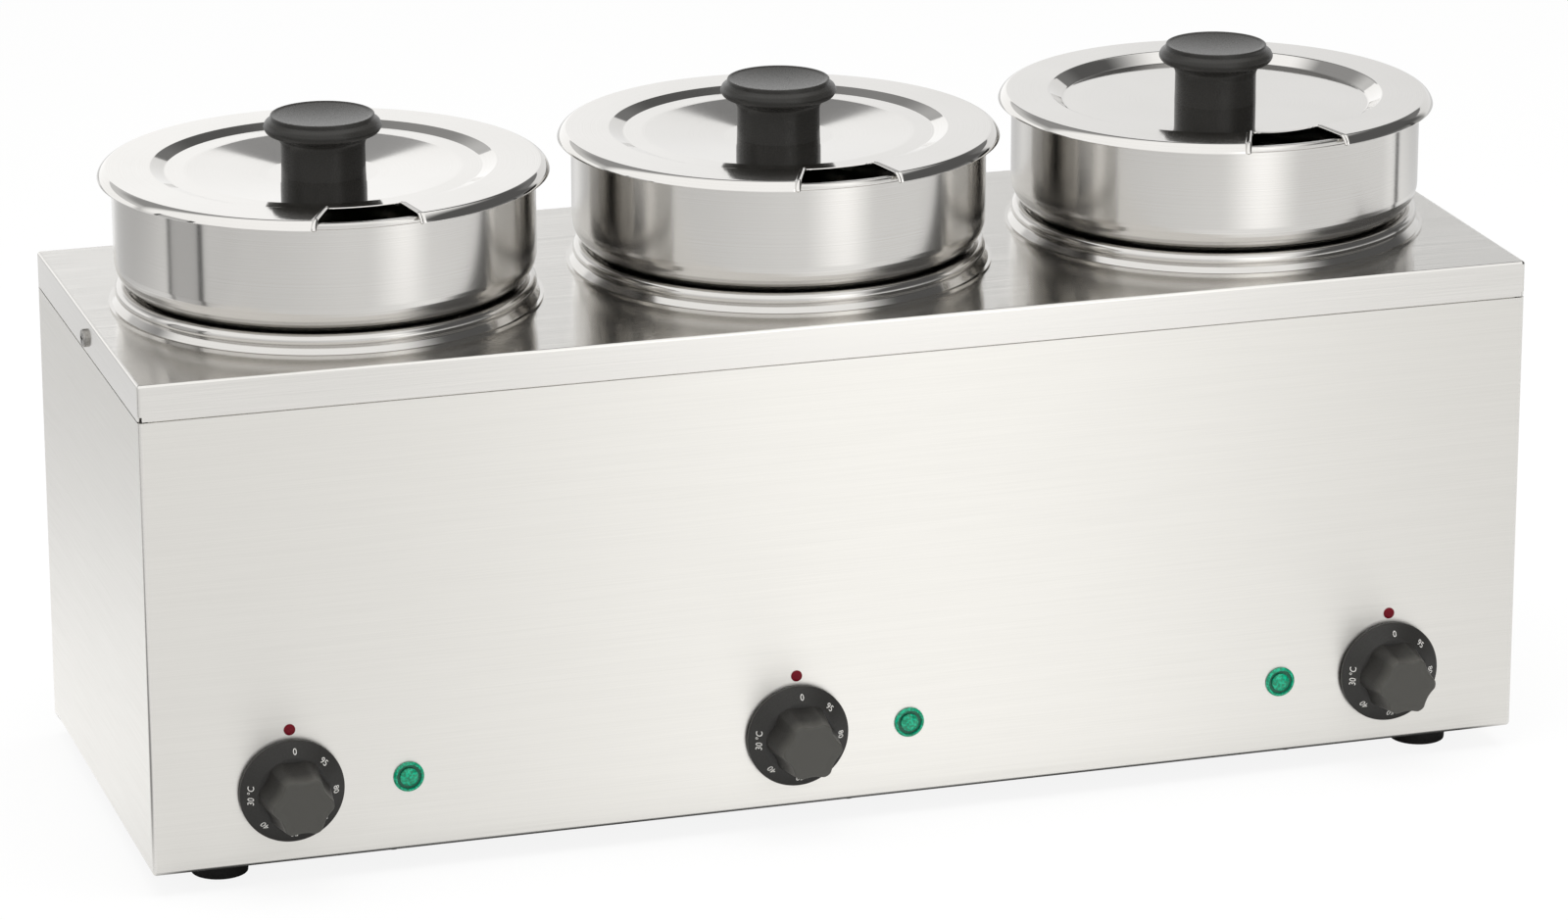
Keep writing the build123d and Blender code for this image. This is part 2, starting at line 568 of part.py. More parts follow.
def make_lid(x, turn):
    """Lid with a recessed floor, a turned-down edge and a ladle notch, turned as it lies on the pot."""
    across = (cos(radians(turn)), sin(radians(turn)), 0)
    with BuildPart() as lid:
        with BuildSketch(upright(x)):
            with BuildLine():
                FilletPolyline(
                    (LID_DIAMETER / 2, LID_Z - LID_LIP),
                    (LID_DIAMETER / 2, LID_Z),
                    (LID_CREST_DIAMETER / 2, LID_Z),
                    (LID_FLOOR_DIAMETER / 2, LID_FLOOR_Z),
                    (0, LID_FLOOR_Z),
                    radius=[LID_EDGE_RADIUS, LID_CREST_RADIUS, LID_CREST_RADIUS],
                )
                offset(amount=LID_SHEET, side=Side.LEFT)
            make_face()
        revolve(axis=turning(x))
        with BuildSketch(Plane((x, 0, LID_Z), x_dir=across)) as notch:
            with BuildLine():
                inner = NOTCH_INNER_WIDTH / 2
                outer = NOTCH_OUTER_WIDTH / 2
                front = -LID_DIAMETER / 2
                Polyline(
                    (-inner, -NOTCH_REACH),
                    (inner, -NOTCH_REACH),
                    (outer, front),
                    (-outer, front),
                    close=True,
                )
            make_face()
            fillet(notch.vertices().sort_by(Axis.Y)[-2:], radius=NOTCH_CORNER)
        extrude(amount=-LID_RECESS, mode=Mode.SUBTRACT)
        with BuildSketch(Plane((x, 0, LID_FLOOR_Z))):
            Circle(LID_SCREW_DIAMETER / 2 + HOLE_FIT)
        extrude(amount=-2 * LID_SHEET, mode=Mode.SUBTRACT)
    return lid


def make_lid_knob(x):
    """Mushroom knob that stands on the lid's floor."""
    neck = LID_KNOB_NECK / 2
    cap = LID_KNOB_CAP / 2
    top = LID_KNOB_TOP / 2
    cap_z = LID_FLOOR_Z + LID_KNOB_CAP_HEIGHT
    step_z = LID_FLOOR_Z + LID_KNOB_STEP_HEIGHT
    top_z = LID_FLOOR_Z + LID_KNOB_HEIGHT
    edge = cap - LID_KNOB_CAP_HALF / 2
    crown = dome_radius(top, LID_KNOB_CROWN)
    crown_turn = degrees(asin(top / crown))
    with BuildPart() as lid_knob:
        with BuildSketch(upright(x)):
            with BuildLine():
                FilletPolyline(
                    (0, LID_FLOOR_Z),
                    (LID_KNOB_BASE / 2, LID_FLOOR_Z),
                    (neck, LID_FLOOR_Z + LID_KNOB_BASE_HEIGHT),
                    (neck, LID_FLOOR_Z + LID_KNOB_NECK_HEIGHT),
                    (edge, cap_z - LID_KNOB_CAP_HALF),
                    radius=[0, 0, LID_KNOB_NECK_RADIUS],
                )
                ThreePointArc(
                    (edge, cap_z - LID_KNOB_CAP_HALF),
                    (cap, cap_z),
                    (edge, cap_z + LID_KNOB_CAP_HALF),
                )
                Polyline((edge, cap_z + LID_KNOB_CAP_HALF), (top, step_z), (top, top_z - LID_KNOB_CROWN))
                CenterArc((0, top_z - crown), crown, 90 - crown_turn, crown_turn)
                Line((0, top_z), (0, LID_FLOOR_Z))
            make_face()
        revolve(axis=turning(x))
        with BuildSketch(Plane((x, 0, LID_FLOOR_Z))):
            Circle(LID_SCREW_DIAMETER / 2 + HOLE_FIT)
        extrude(amount=LID_SCREW_LENGTH, mode=Mode.SUBTRACT)
    return lid_knob


def make_lid_knob_screw(x):
    """Screw from under the lid's floor into the knob."""
    under_floor = Plane((x, 0, LID_FLOOR_Z - LID_SHEET), z_dir=(0, 0, -1))
    return make_screws(
        [under_floor], LID_SCREW_DIAMETER, LID_SCREW_LENGTH, LID_SCREW_HEAD, LID_SCREW_HEAD_HEIGHT
    )


def make_heat_plate(x):
    """Aluminium plate against the well's floor, grooved for the element."""
    with BuildPart() as heat_plate:
        with BuildSketch(Plane((x, 0, ELEMENT_Z))):
            Circle(HEAT_PLATE_DIAMETER / 2)
            Circle(STUD_DIAMETER / 2 + HOLE_FIT, mode=Mode.SUBTRACT)
        extrude(amount=HEAT_PLATE_THICK)
        with BuildSketch(upright(x)):
            with Locations((ELEMENT_RING / 2, ELEMENT_Z)):
                Circle(ELEMENT_DIAMETER / 2 + ELEMENT_FIT)
        revolve(axis=turning(x), mode=Mode.SUBTRACT)
    return heat_plate


def make_heater_element(x):
    """Tubular element: an open ring with two legs that bend down at the front."""
    drop = Vector(0, 0, ELEMENT_BEND)
    with BuildPart() as heater_element:
        with BuildLine() as route:
            ring = CenterArc((x, 0, ELEMENT_Z), ELEMENT_RING / 2, ELEMENT_OPEN / 2 - 90, 360 - ELEMENT_OPEN)
            for end, outward in ((ring @ 0, -(ring % 0)), (ring @ 1, ring % 1)):
                bend_foot = end + outward * ELEMENT_BEND - drop
                TangentArc(end, bend_foot, tangent=outward)
                Line(bend_foot, bend_foot - Vector(0, 0, ELEMENT_LEG))
        leg_end = route.vertices().group_by(Axis.Z)[0].sort_by(Axis.X)[-1]
        with BuildSketch(Plane(leg_end.center())):
            Circle(ELEMENT_DIAMETER / 2)
        sweep(path=route.wire())
    return heater_element


def make_thermostat_knob(x):
    """Skirted dial with a fluted grip, hollow behind."""
    back_y = FRONT_Y - DIAL_GAP
    front_y = back_y - GRIP_LENGTH
    grip_y = back_y - DIAL_RISE
    axis = Axis((x, 0, CONTROL_Z), (0, -1, 0))
    with BuildPart() as thermostat_knob:
        for y, radius in ((grip_y, GRIP_BASE / 2), (front_y, GRIP_FRONT / 2)):
            with BuildSketch(facing(y)):
                with Locations((x, CONTROL_Z)):
                    Circle(radius)
                    with PolarLocations(radius + FLUTE_RADIUS - FLUTE_DEPTH, FLUTE_COUNT, start_angle=90):
                        Circle(FLUTE_RADIUS, mode=Mode.SUBTRACT)
        loft()
        fillet(thermostat_knob.faces().sort_by(Axis.Y)[0].edges(), radius=GRIP_ROUND)
        with BuildSketch(Plane(origin=(x, 0, CONTROL_Z), x_dir=(1, 0, 0), z_dir=(0, 0, 1))):
            with BuildLine():
                Polyline(
                    (0, back_y),
                    (DIAL_DIAMETER / 2, back_y),
                    (DIAL_DIAMETER / 2, back_y - DIAL_EDGE),
                    (GRIP_BASE / 2, grip_y),
                    (0, grip_y),
                    close=True,
                )
            make_face()
        revolve(axis=axis)
        with BuildSketch(facing(back_y)):
            with Locations((x, CONTROL_Z)):
                Circle(DIAL_DIAMETER / 2 - DIAL_WALL)
        extrude(amount=DIAL_CAVITY, mode=Mode.SUBTRACT)
        with BuildSketch(facing(FRONT_Y - BUSHING_PROUD - DIAL_GAP)):
            with Locations((x, CONTROL_Z)):
                Circle(HUB_DIAMETER / 2)
        extrude(amount=GRIP_LENGTH - DIAL_CAVITY)
        with BuildSketch(facing(FRONT_Y)):
            with Locations((x, CONTROL_Z)):
                Circle(SHAFT_DIAMETER / 2 + SHAFT_FIT)
                with Locations((0, SHAFT_DIAMETER - SHAFT_FLAT + SHAFT_FIT)):
                    Rectangle(2 * SHAFT_DIAMETER, SHAFT_DIAMETER, mode=Mode.SUBTRACT)
        extrude(amount=SHAFT_OUTSIDE + DIAL_GAP, mode=Mode.SUBTRACT)
    return thermostat_knob


def make_thermostat_shaft(x):
    """Shaft with a flat, turning in the thermostat's body."""
    with BuildPart() as thermostat_shaft:
        with BuildSketch(facing(FRONT_INNER_Y + SHAFT_INSIDE)):
            with Locations((x, CONTROL_Z)):
                Circle(SHAFT_DIAMETER / 2)
        extrude(amount=SHAFT_INSIDE + SHEET + BUSHING_PROUD)
        with BuildSketch(facing(FRONT_Y - BUSHING_PROUD)):
            with Locations((x, CONTROL_Z)):
                Circle(SHAFT_DIAMETER / 2)
                with Locations((0, SHAFT_DIAMETER - SHAFT_FLAT)):
                    Rectangle(2 * SHAFT_DIAMETER, SHAFT_DIAMETER, mode=Mode.SUBTRACT)
        extrude(amount=SHAFT_OUTSIDE - BUSHING_PROUD)
    return thermostat_shaft


def make_thermostat_body(x):
    """Regulator against the front panel, with its bushing and two tabs."""
    rear_y = FRONT_INNER_Y + BODY_DEPTH
    with BuildPart() as thermostat_body:
        with BuildSketch(facing(rear_y)):
            with Locations((x, CONTROL_Z)):
                Rectangle(BODY_WIDTH, BODY_HEIGHT)
        extrude(amount=BODY_DEPTH)
        with BuildSketch(facing(FRONT_INNER_Y)):
            with Locations((x, CONTROL_Z)):
                Circle(BUSHING_DIAMETER / 2)
        extrude(amount=SHEET + BUSHING_PROUD)
        with BuildSketch(rearward(rear_y)):
            with Locations((-x, CONTROL_Z)):
                with GridLocations(TAB_SPACING, 0, 2, 1):
                    Rectangle(TAB_WIDTH, TAB_THICK)
        extrude(amount=TAB_LENGTH)
        with BuildSketch(facing(FRONT_Y - BUSHING_PROUD)):
            with Locations((x, CONTROL_Z)):
                Circle(SHAFT_DIAMETER / 2 + SHAFT_FIT)
        extrude(amount=-(SHAFT_INSIDE + SHEET + BUSHING_PROUD + DIAL_GAP), mode=Mode.SUBTRACT)
        with BuildSketch(facing(FRONT_INNER_Y)):
            with Locations((x, CONTROL_Z)):
                with GridLocations(FIXING_SPACING, 0, 2, 1):
                    Circle(FIXING_SCREW_DIAMETER / 2 + HOLE_FIT)
        extrude(amount=-FIXING_SCREW_LENGTH, mode=Mode.SUBTRACT)
    return thermostat_body


def make_thermostat_probe(pot_x, dial_x):
    """Bulb beside the well and the capillary tube that joins it to the thermostat."""
    bulb_z = WELL_UNDER_Z + BULB_RISE
    body_top = CONTROL_Z + BODY_HEIGHT / 2
    start = Vector(dial_x, FRONT_INNER_Y + BODY_DEPTH / 2, body_top)
    end = Vector(pot_x, BULB_Y, bulb_z)
    rise = Vector(0, 0, CAPILLARY_LEAD)
    with BuildPart() as thermostat_probe:
        with BuildLine() as route:
            FilletPolyline(start, start + rise, end - rise, end, radius=CAPILLARY_BEND)
        with BuildSketch(Plane(start)):
            Circle(CAPILLARY_DIAMETER / 2)
        sweep(path=route.line)
        with BuildSketch(Plane(end)):
            Circle(BULB_DIAMETER / 2)
        extrude(amount=BULB_LENGTH)
    return thermostat_probe


def make_lamp_lens(x):
    """Green ring and domed lens in one moulding."""
    axis = Axis((x, 0, CONTROL_Z), (0, -1, 0))
    ring_y = FRONT_Y - LAMP_RING_PROUD
    dome = dome_radius(LAMP_DOME / 2, LAMP_DOME_RISE)
    dome_turn = degrees(asin(LAMP_DOME / 2 / dome))
    dome_y = ring_y - LAMP_DOME_RISE
    with BuildPart() as lamp_lens:
        with BuildSketch(Plane(origin=(x, 0, CONTROL_Z), x_dir=(1, 0, 0), z_dir=(0, 0, 1))):
            with BuildLine():
                Polyline(
                    (0, dome_y),
                    (0, FRONT_INNER_Y),
                    (LAMP_STEM / 2, FRONT_INNER_Y),
                    (LAMP_STEM / 2, FRONT_Y),
                    (LAMP_RING / 2, FRONT_Y),
                    (LAMP_RING / 2 - LAMP_RING_BEVEL, ring_y),
                    (LAMP_DOME / 2, ring_y),
                )
                CenterArc((0, dome_y + dome), dome, -90, dome_turn)
            make_face()
        revolve(axis=axis)
    return lamp_lens


def make_lamp_body(x):
    """Lamp holder behind the lens, with its two tabs."""
    with BuildPart() as lamp_body:
        with BuildSketch(rearward(FRONT_INNER_Y)):
            with Locations((-x, CONTROL_Z)):
                Circle(LAMP_STEM / 2)
        extrude(amount=LAMP_LENGTH)
        with BuildSketch(rearward(FRONT_INNER_Y + LAMP_LENGTH)):
            with Locations((-x, CONTROL_Z)):
                with GridLocations(LAMP_STEM / 2, 0, 2, 1):
                    Rectangle(TAB_THICK, TAB_WIDTH / 2)
        extrude(amount=TAB_LENGTH)
    return lamp_body


for side, (pot_x, dial_x, lamp_x) in STATIONS.items():
    keep(make_well(pot_x), f"well_{side}")
    keep(make_pot(pot_x), f"pot_{side}")
    keep(make_lid(pot_x, LID_TURN[side]), f"lid_{side}")
    keep(make_lid_knob(pot_x), f"lid_knob_{side}")
    keep(make_lid_knob_screw(pot_x), f"lid_knob_screw_{side}")
    keep(make_heat_plate(pot_x), f"heat_plate_{side}")
    keep(make_heater_element(pot_x), f"heater_element_{side}")
    keep(make_thermostat_knob(dial_x), f"thermostat_knob_{side}")
    keep(make_thermostat_shaft(dial_x), f"thermostat_shaft_{side}")
    keep(make_thermostat_body(dial_x), f"thermostat_body_{side}")
    keep(make_thermostat_probe(pot_x, dial_x), f"thermostat_probe_{side}")
    keep(make_lamp_lens(lamp_x), f"lamp_lens_{side}")
    keep(make_lamp_body(lamp_x), f"lamp_body_{side}")

# Heater clamps: a bar under each element, held by a nut on the well's stud
with BuildPart() as heater_clamps:
    for pot_x in POT_X:
        with BuildSketch(Plane((pot_x, 0, CLAMP_Z))):
            Rectangle(CLAMP_LENGTH, CLAMP_WIDTH)
            Circle(STUD_DIAMETER / 2 + HOLE_FIT, mode=Mode.SUBTRACT)
        extrude(amount=CLAMP_THICK)
keep(heater_clamps, "heater_clamps")

under_clamps = [Plane((x, 0, CLAMP_Z), z_dir=(0, 0, -1)) for x in POT_X]
heater_nuts = make_nuts(under_clamps, STUD_DIAMETER, STUD_NUT_HEIGHT, HOLE_FIT)
keep(heater_nuts, "heater_nuts")

# Probe brackets: each is a saddle that holds a bulb against its well
with BuildPart() as probe_brackets:
    bracket_z = WELL_UNDER_Z + BULB_RISE + BULB_LENGTH / 2
    bracket_y = BULB_Y - BULB_DIAMETER / 2 - BRACKET_WALL
    for pot_x in POT_X:
        with BuildSketch(Plane((pot_x, 0, bracket_z))):
            with Locations((0, bracket_y)):
                Rectangle(BRACKET_WIDTH, BULB_DIAMETER + 2 * BRACKET_WALL, align=(Align.CENTER, Align.MIN))
            Circle(WELL_OUTER + BULB_FIT, mode=Mode.SUBTRACT)
            with Locations((0, BULB_Y)):
                Circle(BULB_DIAMETER / 2 + BULB_FIT, mode=Mode.SUBTRACT)
                Rectangle(
                    BULB_DIAMETER + 2 * BULB_FIT,
                    BULB_DIAMETER + BRACKET_WALL,
                    align=(Align.CENTER, Align.MIN),
                    mode=Mode.SUBTRACT,
                )
        extrude(amount=BRACKET_HEIGHT / 2, both=True)
keep(probe_brackets, "probe_brackets")

# Front panel hardware
on_panel = [Plane((x, FRONT_Y, z), z_dir=(0, -1, 0)) for x, z in FIXINGS]
thermostat_screws = make_screws(
    on_panel,
    FIXING_SCREW_DIAMETER,
    FIXING_SCREW_LENGTH,
    FIXING_SCREW_HEAD,
    FIXING_SCREW_HEAD_HEIGHT,
)
keep(thermostat_screws, "thermostat_screws")

with BuildPart() as index_studs:
    with BuildSketch(facing(FRONT_Y)):
        with Locations(*[(x, CONTROL_Z + INDEX_RISE) for x in DIAL_X]):
            Circle(INDEX_DIAMETER / 2)
    extrude(amount=INDEX_PROUD)
    fillet(index_studs.faces().group_by(Axis.Y)[0].edges(), radius=INDEX_PROUD / 2)
    with BuildSketch(facing(FRONT_Y)):
        with Locations(*[(x, CONTROL_Z + INDEX_RISE) for x in DIAL_X]):
            Circle(INDEX_SHANK / 2)
    extrude(amount=-INDEX_LENGTH)
keep(index_studs, "index_studs")

with BuildPart() as lamp_nuts:
    with BuildSketch(rearward(FRONT_INNER_Y)):
        with Locations(*[(-x, CONTROL_Z) for x in LAMP_X]):
            Circle(LAMP_NUT / 2)
            Circle(LAMP_STEM / 2 + HOLE_FIT, mode=Mode.SUBTRACT)
    extrude(amount=LAMP_NUT_THICK)
keep(lamp_nuts, "lamp_nuts")

# Mains entry: gland through the rear panel, its nut, and the terminal block on the base plate
with BuildPart() as cable_gland:
    with BuildSketch(rearward(REAR_PANEL_Y)):
        with Locations((-GLAND_X, GLAND_Z)):
            RegularPolygon(GLAND_HEX / 2, 6, major_radius=False)
    extrude(amount=GLAND_HEX_LENGTH)
    with BuildSketch(rearward(REAR_PANEL_Y + GLAND_HEX_LENGTH)):
        with Locations((-GLAND_X, GLAND_Z)):
            Circle(GLAND_DOME / 2)
    extrude(amount=GLAND_DOME_LENGTH)
    fillet(cable_gland.faces().sort_by(Axis.Y)[-1].edges(), radius=GLAND_HEX_LENGTH / 2)
    with BuildSketch(rearward(REAR_PANEL_Y)):
        with Locations((-GLAND_X, GLAND_Z)):
            Circle(GLAND_THREAD / 2)
    extrude(amount=-GLAND_TAIL)
    with BuildSketch(rearward(REAR_PANEL_Y - GLAND_TAIL)):
        with Locations((-GLAND_X, GLAND_Z)):
            Circle(GLAND_BORE / 2)
    extrude(amount=GLAND_TAIL + GLAND_HEX_LENGTH + GLAND_DOME_LENGTH, mode=Mode.SUBTRACT)
keep(cable_gland, "cable_gland")

with BuildPart() as gland_nut:
    with BuildSketch(facing(REAR_PANEL_Y - SHEET)):
        with Locations((GLAND_X, GLAND_Z)):
            RegularPolygon(GLAND_HEX / 2, 6, major_radius=False)
            Circle(GLAND_THREAD / 2 + GLAND_NUT_FIT, mode=Mode.SUBTRACT)
    extrude(amount=GLAND_NUT_LENGTH)
keep(gland_nut, "gland_nut")

BLOCK_SCREWS = [(BLOCK_X + side * BLOCK_SCREW_SPACING / 2, BLOCK_Y) for side in (-1, 1)]
with BuildPart() as terminal_block:
    with BuildSketch(Plane((BLOCK_X, BLOCK_Y, BASE_TOP))):
        Rectangle(BLOCK_WIDTH, BLOCK_DEPTH)
    extrude(amount=BLOCK_FOOT)
    with BuildSketch(Plane((BLOCK_X, BLOCK_Y, BASE_TOP))):
        Rectangle(BLOCK_SCREW_SPACING - FIXING_SCREW_HEAD - 2 * BLOCK_FOOT, BLOCK_DEPTH)
    extrude(amount=BLOCK_HEIGHT)
    with BuildSketch(Plane.XY.offset(BASE_TOP)):
        with Locations(*BLOCK_SCREWS):
            Circle(FIXING_SCREW_DIAMETER / 2 + HOLE_FIT)
    extrude(amount=BLOCK_FOOT, mode=Mode.SUBTRACT)
keep(terminal_block, "terminal_block")

on_block = [Plane((x, y, BASE_TOP + BLOCK_FOOT)) for x, y in BLOCK_SCREWS]
terminal_screws = make_screws(
    on_block, FIXING_SCREW_DIAMETER, BLOCK_FOOT, FIXING_SCREW_HEAD, FIXING_SCREW_HEAD_HEIGHT
)
keep(terminal_screws, "terminal_screws")
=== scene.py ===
"""Looks of a counter-top bain marie with three pots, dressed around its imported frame."""

import logging
from abc import ABC, abstractmethod
from dataclasses import dataclass
from enum import Enum
from math import radians
from typing import Any, Mapping, Sequence

import bmesh
import bpy
import numpy as np
from mathutils import Matrix, Vector


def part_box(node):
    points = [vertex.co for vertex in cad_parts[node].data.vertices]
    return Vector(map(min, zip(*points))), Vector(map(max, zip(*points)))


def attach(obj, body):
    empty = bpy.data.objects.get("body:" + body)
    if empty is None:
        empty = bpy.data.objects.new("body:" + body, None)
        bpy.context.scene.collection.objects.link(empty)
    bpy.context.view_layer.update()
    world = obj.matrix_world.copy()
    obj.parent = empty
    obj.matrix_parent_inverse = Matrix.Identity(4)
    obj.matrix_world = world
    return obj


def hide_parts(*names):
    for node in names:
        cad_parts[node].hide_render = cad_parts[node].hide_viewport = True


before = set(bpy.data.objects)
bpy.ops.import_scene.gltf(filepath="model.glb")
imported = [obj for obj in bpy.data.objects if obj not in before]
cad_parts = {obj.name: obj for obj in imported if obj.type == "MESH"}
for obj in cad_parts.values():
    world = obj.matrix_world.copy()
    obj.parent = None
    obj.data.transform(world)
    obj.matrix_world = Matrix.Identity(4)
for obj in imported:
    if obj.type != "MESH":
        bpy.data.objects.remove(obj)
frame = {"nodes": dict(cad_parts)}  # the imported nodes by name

Tree = bpy.types.NodeTree
Node = bpy.types.Node
Socket = bpy.types.NodeSocket
Piece = bpy.types.Object

LOG = logging.getLogger("bain_marie")
MM = 0.001
FULL_TURN = 2 * np.pi
TINY = 1e-6  # keeps a division from meeting zero
TOUCH = 1e-7  # metres; points closer than this are one
SLIVER = 1e-8  # metres; edges shorter than this are dissolved
SHARP = 32.0  # degrees; edges that fold by more are drawn sharp
UV_NAME = "spin"  # u runs round the axis in turns, v along the profile in metres
HOUSING = "housing"
WHITE = (1.0, 1.0, 1.0, 1.0)

# A Mix node's two inputs and its output, for values, colours and vectors
MIX_VALUES = (2, 3, 0)
MIX_COLOURS = (6, 7, 2)
MIX_VECTORS = (4, 5, 1)
# A Map Range node's inputs and its soft step
RANGE_INPUTS = ("Value", "From Min", "From Max", "To Min", "To Max")
SOFT_STEP = {"interpolation_type": "SMOOTHSTEP"}
# The values between which a noise pattern mostly lies
PATTERN_LIMITS = {"From Min": 0.3, "From Max": 0.7}


class Side(Enum):
    """The three stations, left to right as the cook sees them."""

    LEFT = "left"
    MIDDLE = "middle"
    RIGHT = "right"


# Sizes that several pieces share, in millimetres in the frame of the model
COVER_TOP = 274.0
SEAT_Z = 283.0
RIM_TOP = 343.9
LID_TOP = 346.0
LID_FLOOR = 340.6
PANEL_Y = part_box("casing")[0][1] / MM
CONTROL_Z = 52.0
POT_X = {Side.LEFT: -247.0, Side.MIDDLE: 0.0, Side.RIGHT: 247.0}
DIAL_X = {Side.LEFT: -302.0, Side.MIDDLE: -31.0, Side.RIGHT: 302.0}
LAMP_X = {Side.LEFT: -240.0, Side.MIDDLE: 31.0, Side.RIGHT: 240.0}
# How far each lid is turned, in degrees, and how far the knob's screw pulls its floor down
LID_TURN = {Side.LEFT: 0.0, Side.MIDDLE: 3.5, Side.RIGHT: 3.5}
LID_DISH = {Side.LEFT: 3.05, Side.MIDDLE: 3.05, Side.RIGHT: 0.4}
# Figures of the dials' scale, by degrees clockwise from the top
DIAL_SCALE = {3: "0", 47: "95", 91: "80", 135: "65", 180: "50", 224: "40", 272: "30 °C"}


def srgb(code: str) -> tuple[float, float, float, float]:
    """Turns an sRGB hex colour into linear RGBA.

    Args:
        code: Six hex digits after a hash sign.

    Returns:
        Linear red, green, blue and a full alpha.
    """
    value = np.array([int(code[k : k + 2], 16) for k in (1, 3, 5)]) / 255.0
    linear = np.where(value <= 0.04045, value / 12.92, ((value + 0.055) / 1.055) ** 2.4)
    return (*linear.tolist(), 1.0)


def add_node(
    tree: Tree,
    kind: str,
    settings: Mapping[str, Any] | None = None,
    inputs: Mapping[Any, Any] | None = None,
) -> Node:
    """Adds one node, sets its options, and sets or links its inputs.

    Args:
        tree: The node tree of a material or of the world.
        kind: The node's type.
        settings: Options by name.
        inputs: Values, sockets, or nodes that stand for their first output, by the input's name or number.

    Returns:
        The new node.
    """
    node = tree.nodes.new(kind)
    for name, value in (settings or {}).items():
        setattr(node, name, value)
    for name, value in (inputs or {}).items():
        source = value.outputs[0] if isinstance(value, Node) else value
        if isinstance(source, Socket):
            tree.links.new(source, node.inputs[name])
        else:
            node.inputs[name].default_value = source
    return node


def empty_tree(owner: bpy.types.Material | bpy.types.World) -> Tree:
    """Gives a material or the world a node tree with nothing in it.

    Args:
        owner: The material or the world.

    Returns:
        Its node tree.
    """
    owner.use_nodes = True
    owner.node_tree.nodes.clear()
    return owner.node_tree


def work_out(tree: Tree, known: dict[str, Socket], steps: Mapping[str, tuple], sums: Sequence[tuple]) -> None:
    """Adds soft steps and then sums to a node tree, each under its own name.

    Args:
        tree: The node tree of a material or of the world.
        known: Sockets by name; the new ones join them.
        steps: By name, a socket, the two values that it runs between, and what it becomes at them.
        sums: Name, operation and terms of each sum, where a term is a number or a known name.
    """
    for name, limits in steps.items():
        step = add_node(tree, "ShaderNodeMapRange", SOFT_STEP, dict(zip(RANGE_INPUTS, limits)))
        known[name] = step.outputs[0]
    for name, operation, *terms in sums:
        inputs = {k: known.get(term, term) for k, term in enumerate(terms)}
        known[name] = add_node(tree, "ShaderNodeMath", {"operation": operation}, inputs).outputs[0]


def rounded(corners: Sequence[tuple[float, float, float]], steps: int = 8) -> np.ndarray:
    """Joins corners with straight lines and rounds each corner with its own radius.

    With w half the angle between the two lines, the arc touches each of them at radius / tan(w) from the
    corner, and its centre lies on their bisector at radius / sin(w). Straight runs get a point close to each
    end, so that they stay flat under smooth shading.

    Args:
        corners: Radius, height and rounding of each corner, in millimetres.
        steps: Segments in each rounding.

    Returns:
        The profile's points, in millimetres.
    """
    places = np.array(corners, float)[:, :2]
    runs: list[np.ndarray] = []
    for k, (_, _, radius) in enumerate(corners):
        if radius <= 0 or k in (0, len(corners) - 1):
            runs.append(places[k][None])
            continue
        back, on = places[k - 1] - places[k], places[k + 1] - places[k]
        back, on = back / np.linalg.norm(back), on / np.linalg.norm(on)
        half = 0.5 * np.arccos(np.clip(back @ on, -1.0, 1.0))
        middle = (back + on) / np.linalg.norm(back + on)
        centre = places[k] + middle * radius / np.sin(half)
        start = places[k] + back * radius / np.tan(half) - centre
        end = places[k] + on * radius / np.tan(half) - centre
        sweep = np.arctan2(start[0] * end[1] - start[1] * end[0], start @ end)
        angle = np.arctan2(start[1], start[0]) + sweep * np.linspace(0.0, 1.0, steps + 1)
        runs.append(centre + radius * np.stack([np.cos(angle), np.sin(angle)], -1))
    return held_flat(np.concatenate(runs))


def held_flat(profile: np.ndarray, near: float = 0.35, least: float = 1.4) -> np.ndarray:
    """Adds a point near both ends of each long straight run of a profile.

    Args:
        profile: Points of radius and height, in millimetres.
        near: Distance of the added points from the run's ends.
        least: Length from which a run counts as long.

    Returns:
        The profile with the added points.
    """
    step = np.diff(profile, axis=0)
    length = np.linalg.norm(step, axis=1)
    long = np.flatnonzero(length > least)
    unit = step[long] / length[long, None]
    first, last = profile[long] + unit * near, profile[long + 1] - unit * near
    return np.insert(profile, np.repeat(long + 1, 2), np.stack([first, last], 1).reshape(-1, 2), axis=0)


def walled(profile: np.ndarray, wall: float) -> np.ndarray:
    """Gives an open profile a wall on its left-hand side.

    Each point moves by the wall along the mean of its two neighbouring segments' normals.

    Args:
        profile: Points of radius and height along the outer skin.
        wall: Thickness of the sheet.

    Returns:
        Outer skin, then inner skin in reverse.
    """
    step = np.diff(profile, axis=0)
    normal = np.stack([-step[:, 1], step[:, 0]], -1) / np.linalg.norm(step, axis=1)[:, None]
    mean = np.concatenate([normal[:1], normal[:-1] + normal[1:], normal[-1:]])
    mean /= np.linalg.norm(mean, axis=1)[:, None]
    inner = profile + mean * wall
    inner[:, 0] = np.maximum(inner[:, 0], 0.0)
    return np.concatenate([profile, inner[::-1]])


@dataclass(frozen=True)
class Axis:
    """A turning axis: its foot, its direction and the direction of angle 0, in millimetres."""

    foot: tuple[float, float, float]
    along: tuple[float, float, float] = (0.0, 0.0, 1.0)
    zero: tuple[float, float, float] = (1.0, 0.0, 0.0)

    def carry(self, radius: np.ndarray, angle: np.ndarray, height: np.ndarray) -> np.ndarray:
        """Puts cylinder coordinates about the axis into the model's frame.

        Args:
            radius: Distance from the axis.
            angle: Turn from the zero direction, in radians.
            height: Distance along the axis.

        Returns:
            Points with a last dimension of x, y and z.
        """
        along, zero = np.array(self.along), np.array(self.zero)
        across = np.cross(along, zero)
        turn = np.cos(angle)[..., None] * zero + np.sin(angle)[..., None] * across
        return np.array(self.foot) + radius[..., None] * turn + height[..., None] * along


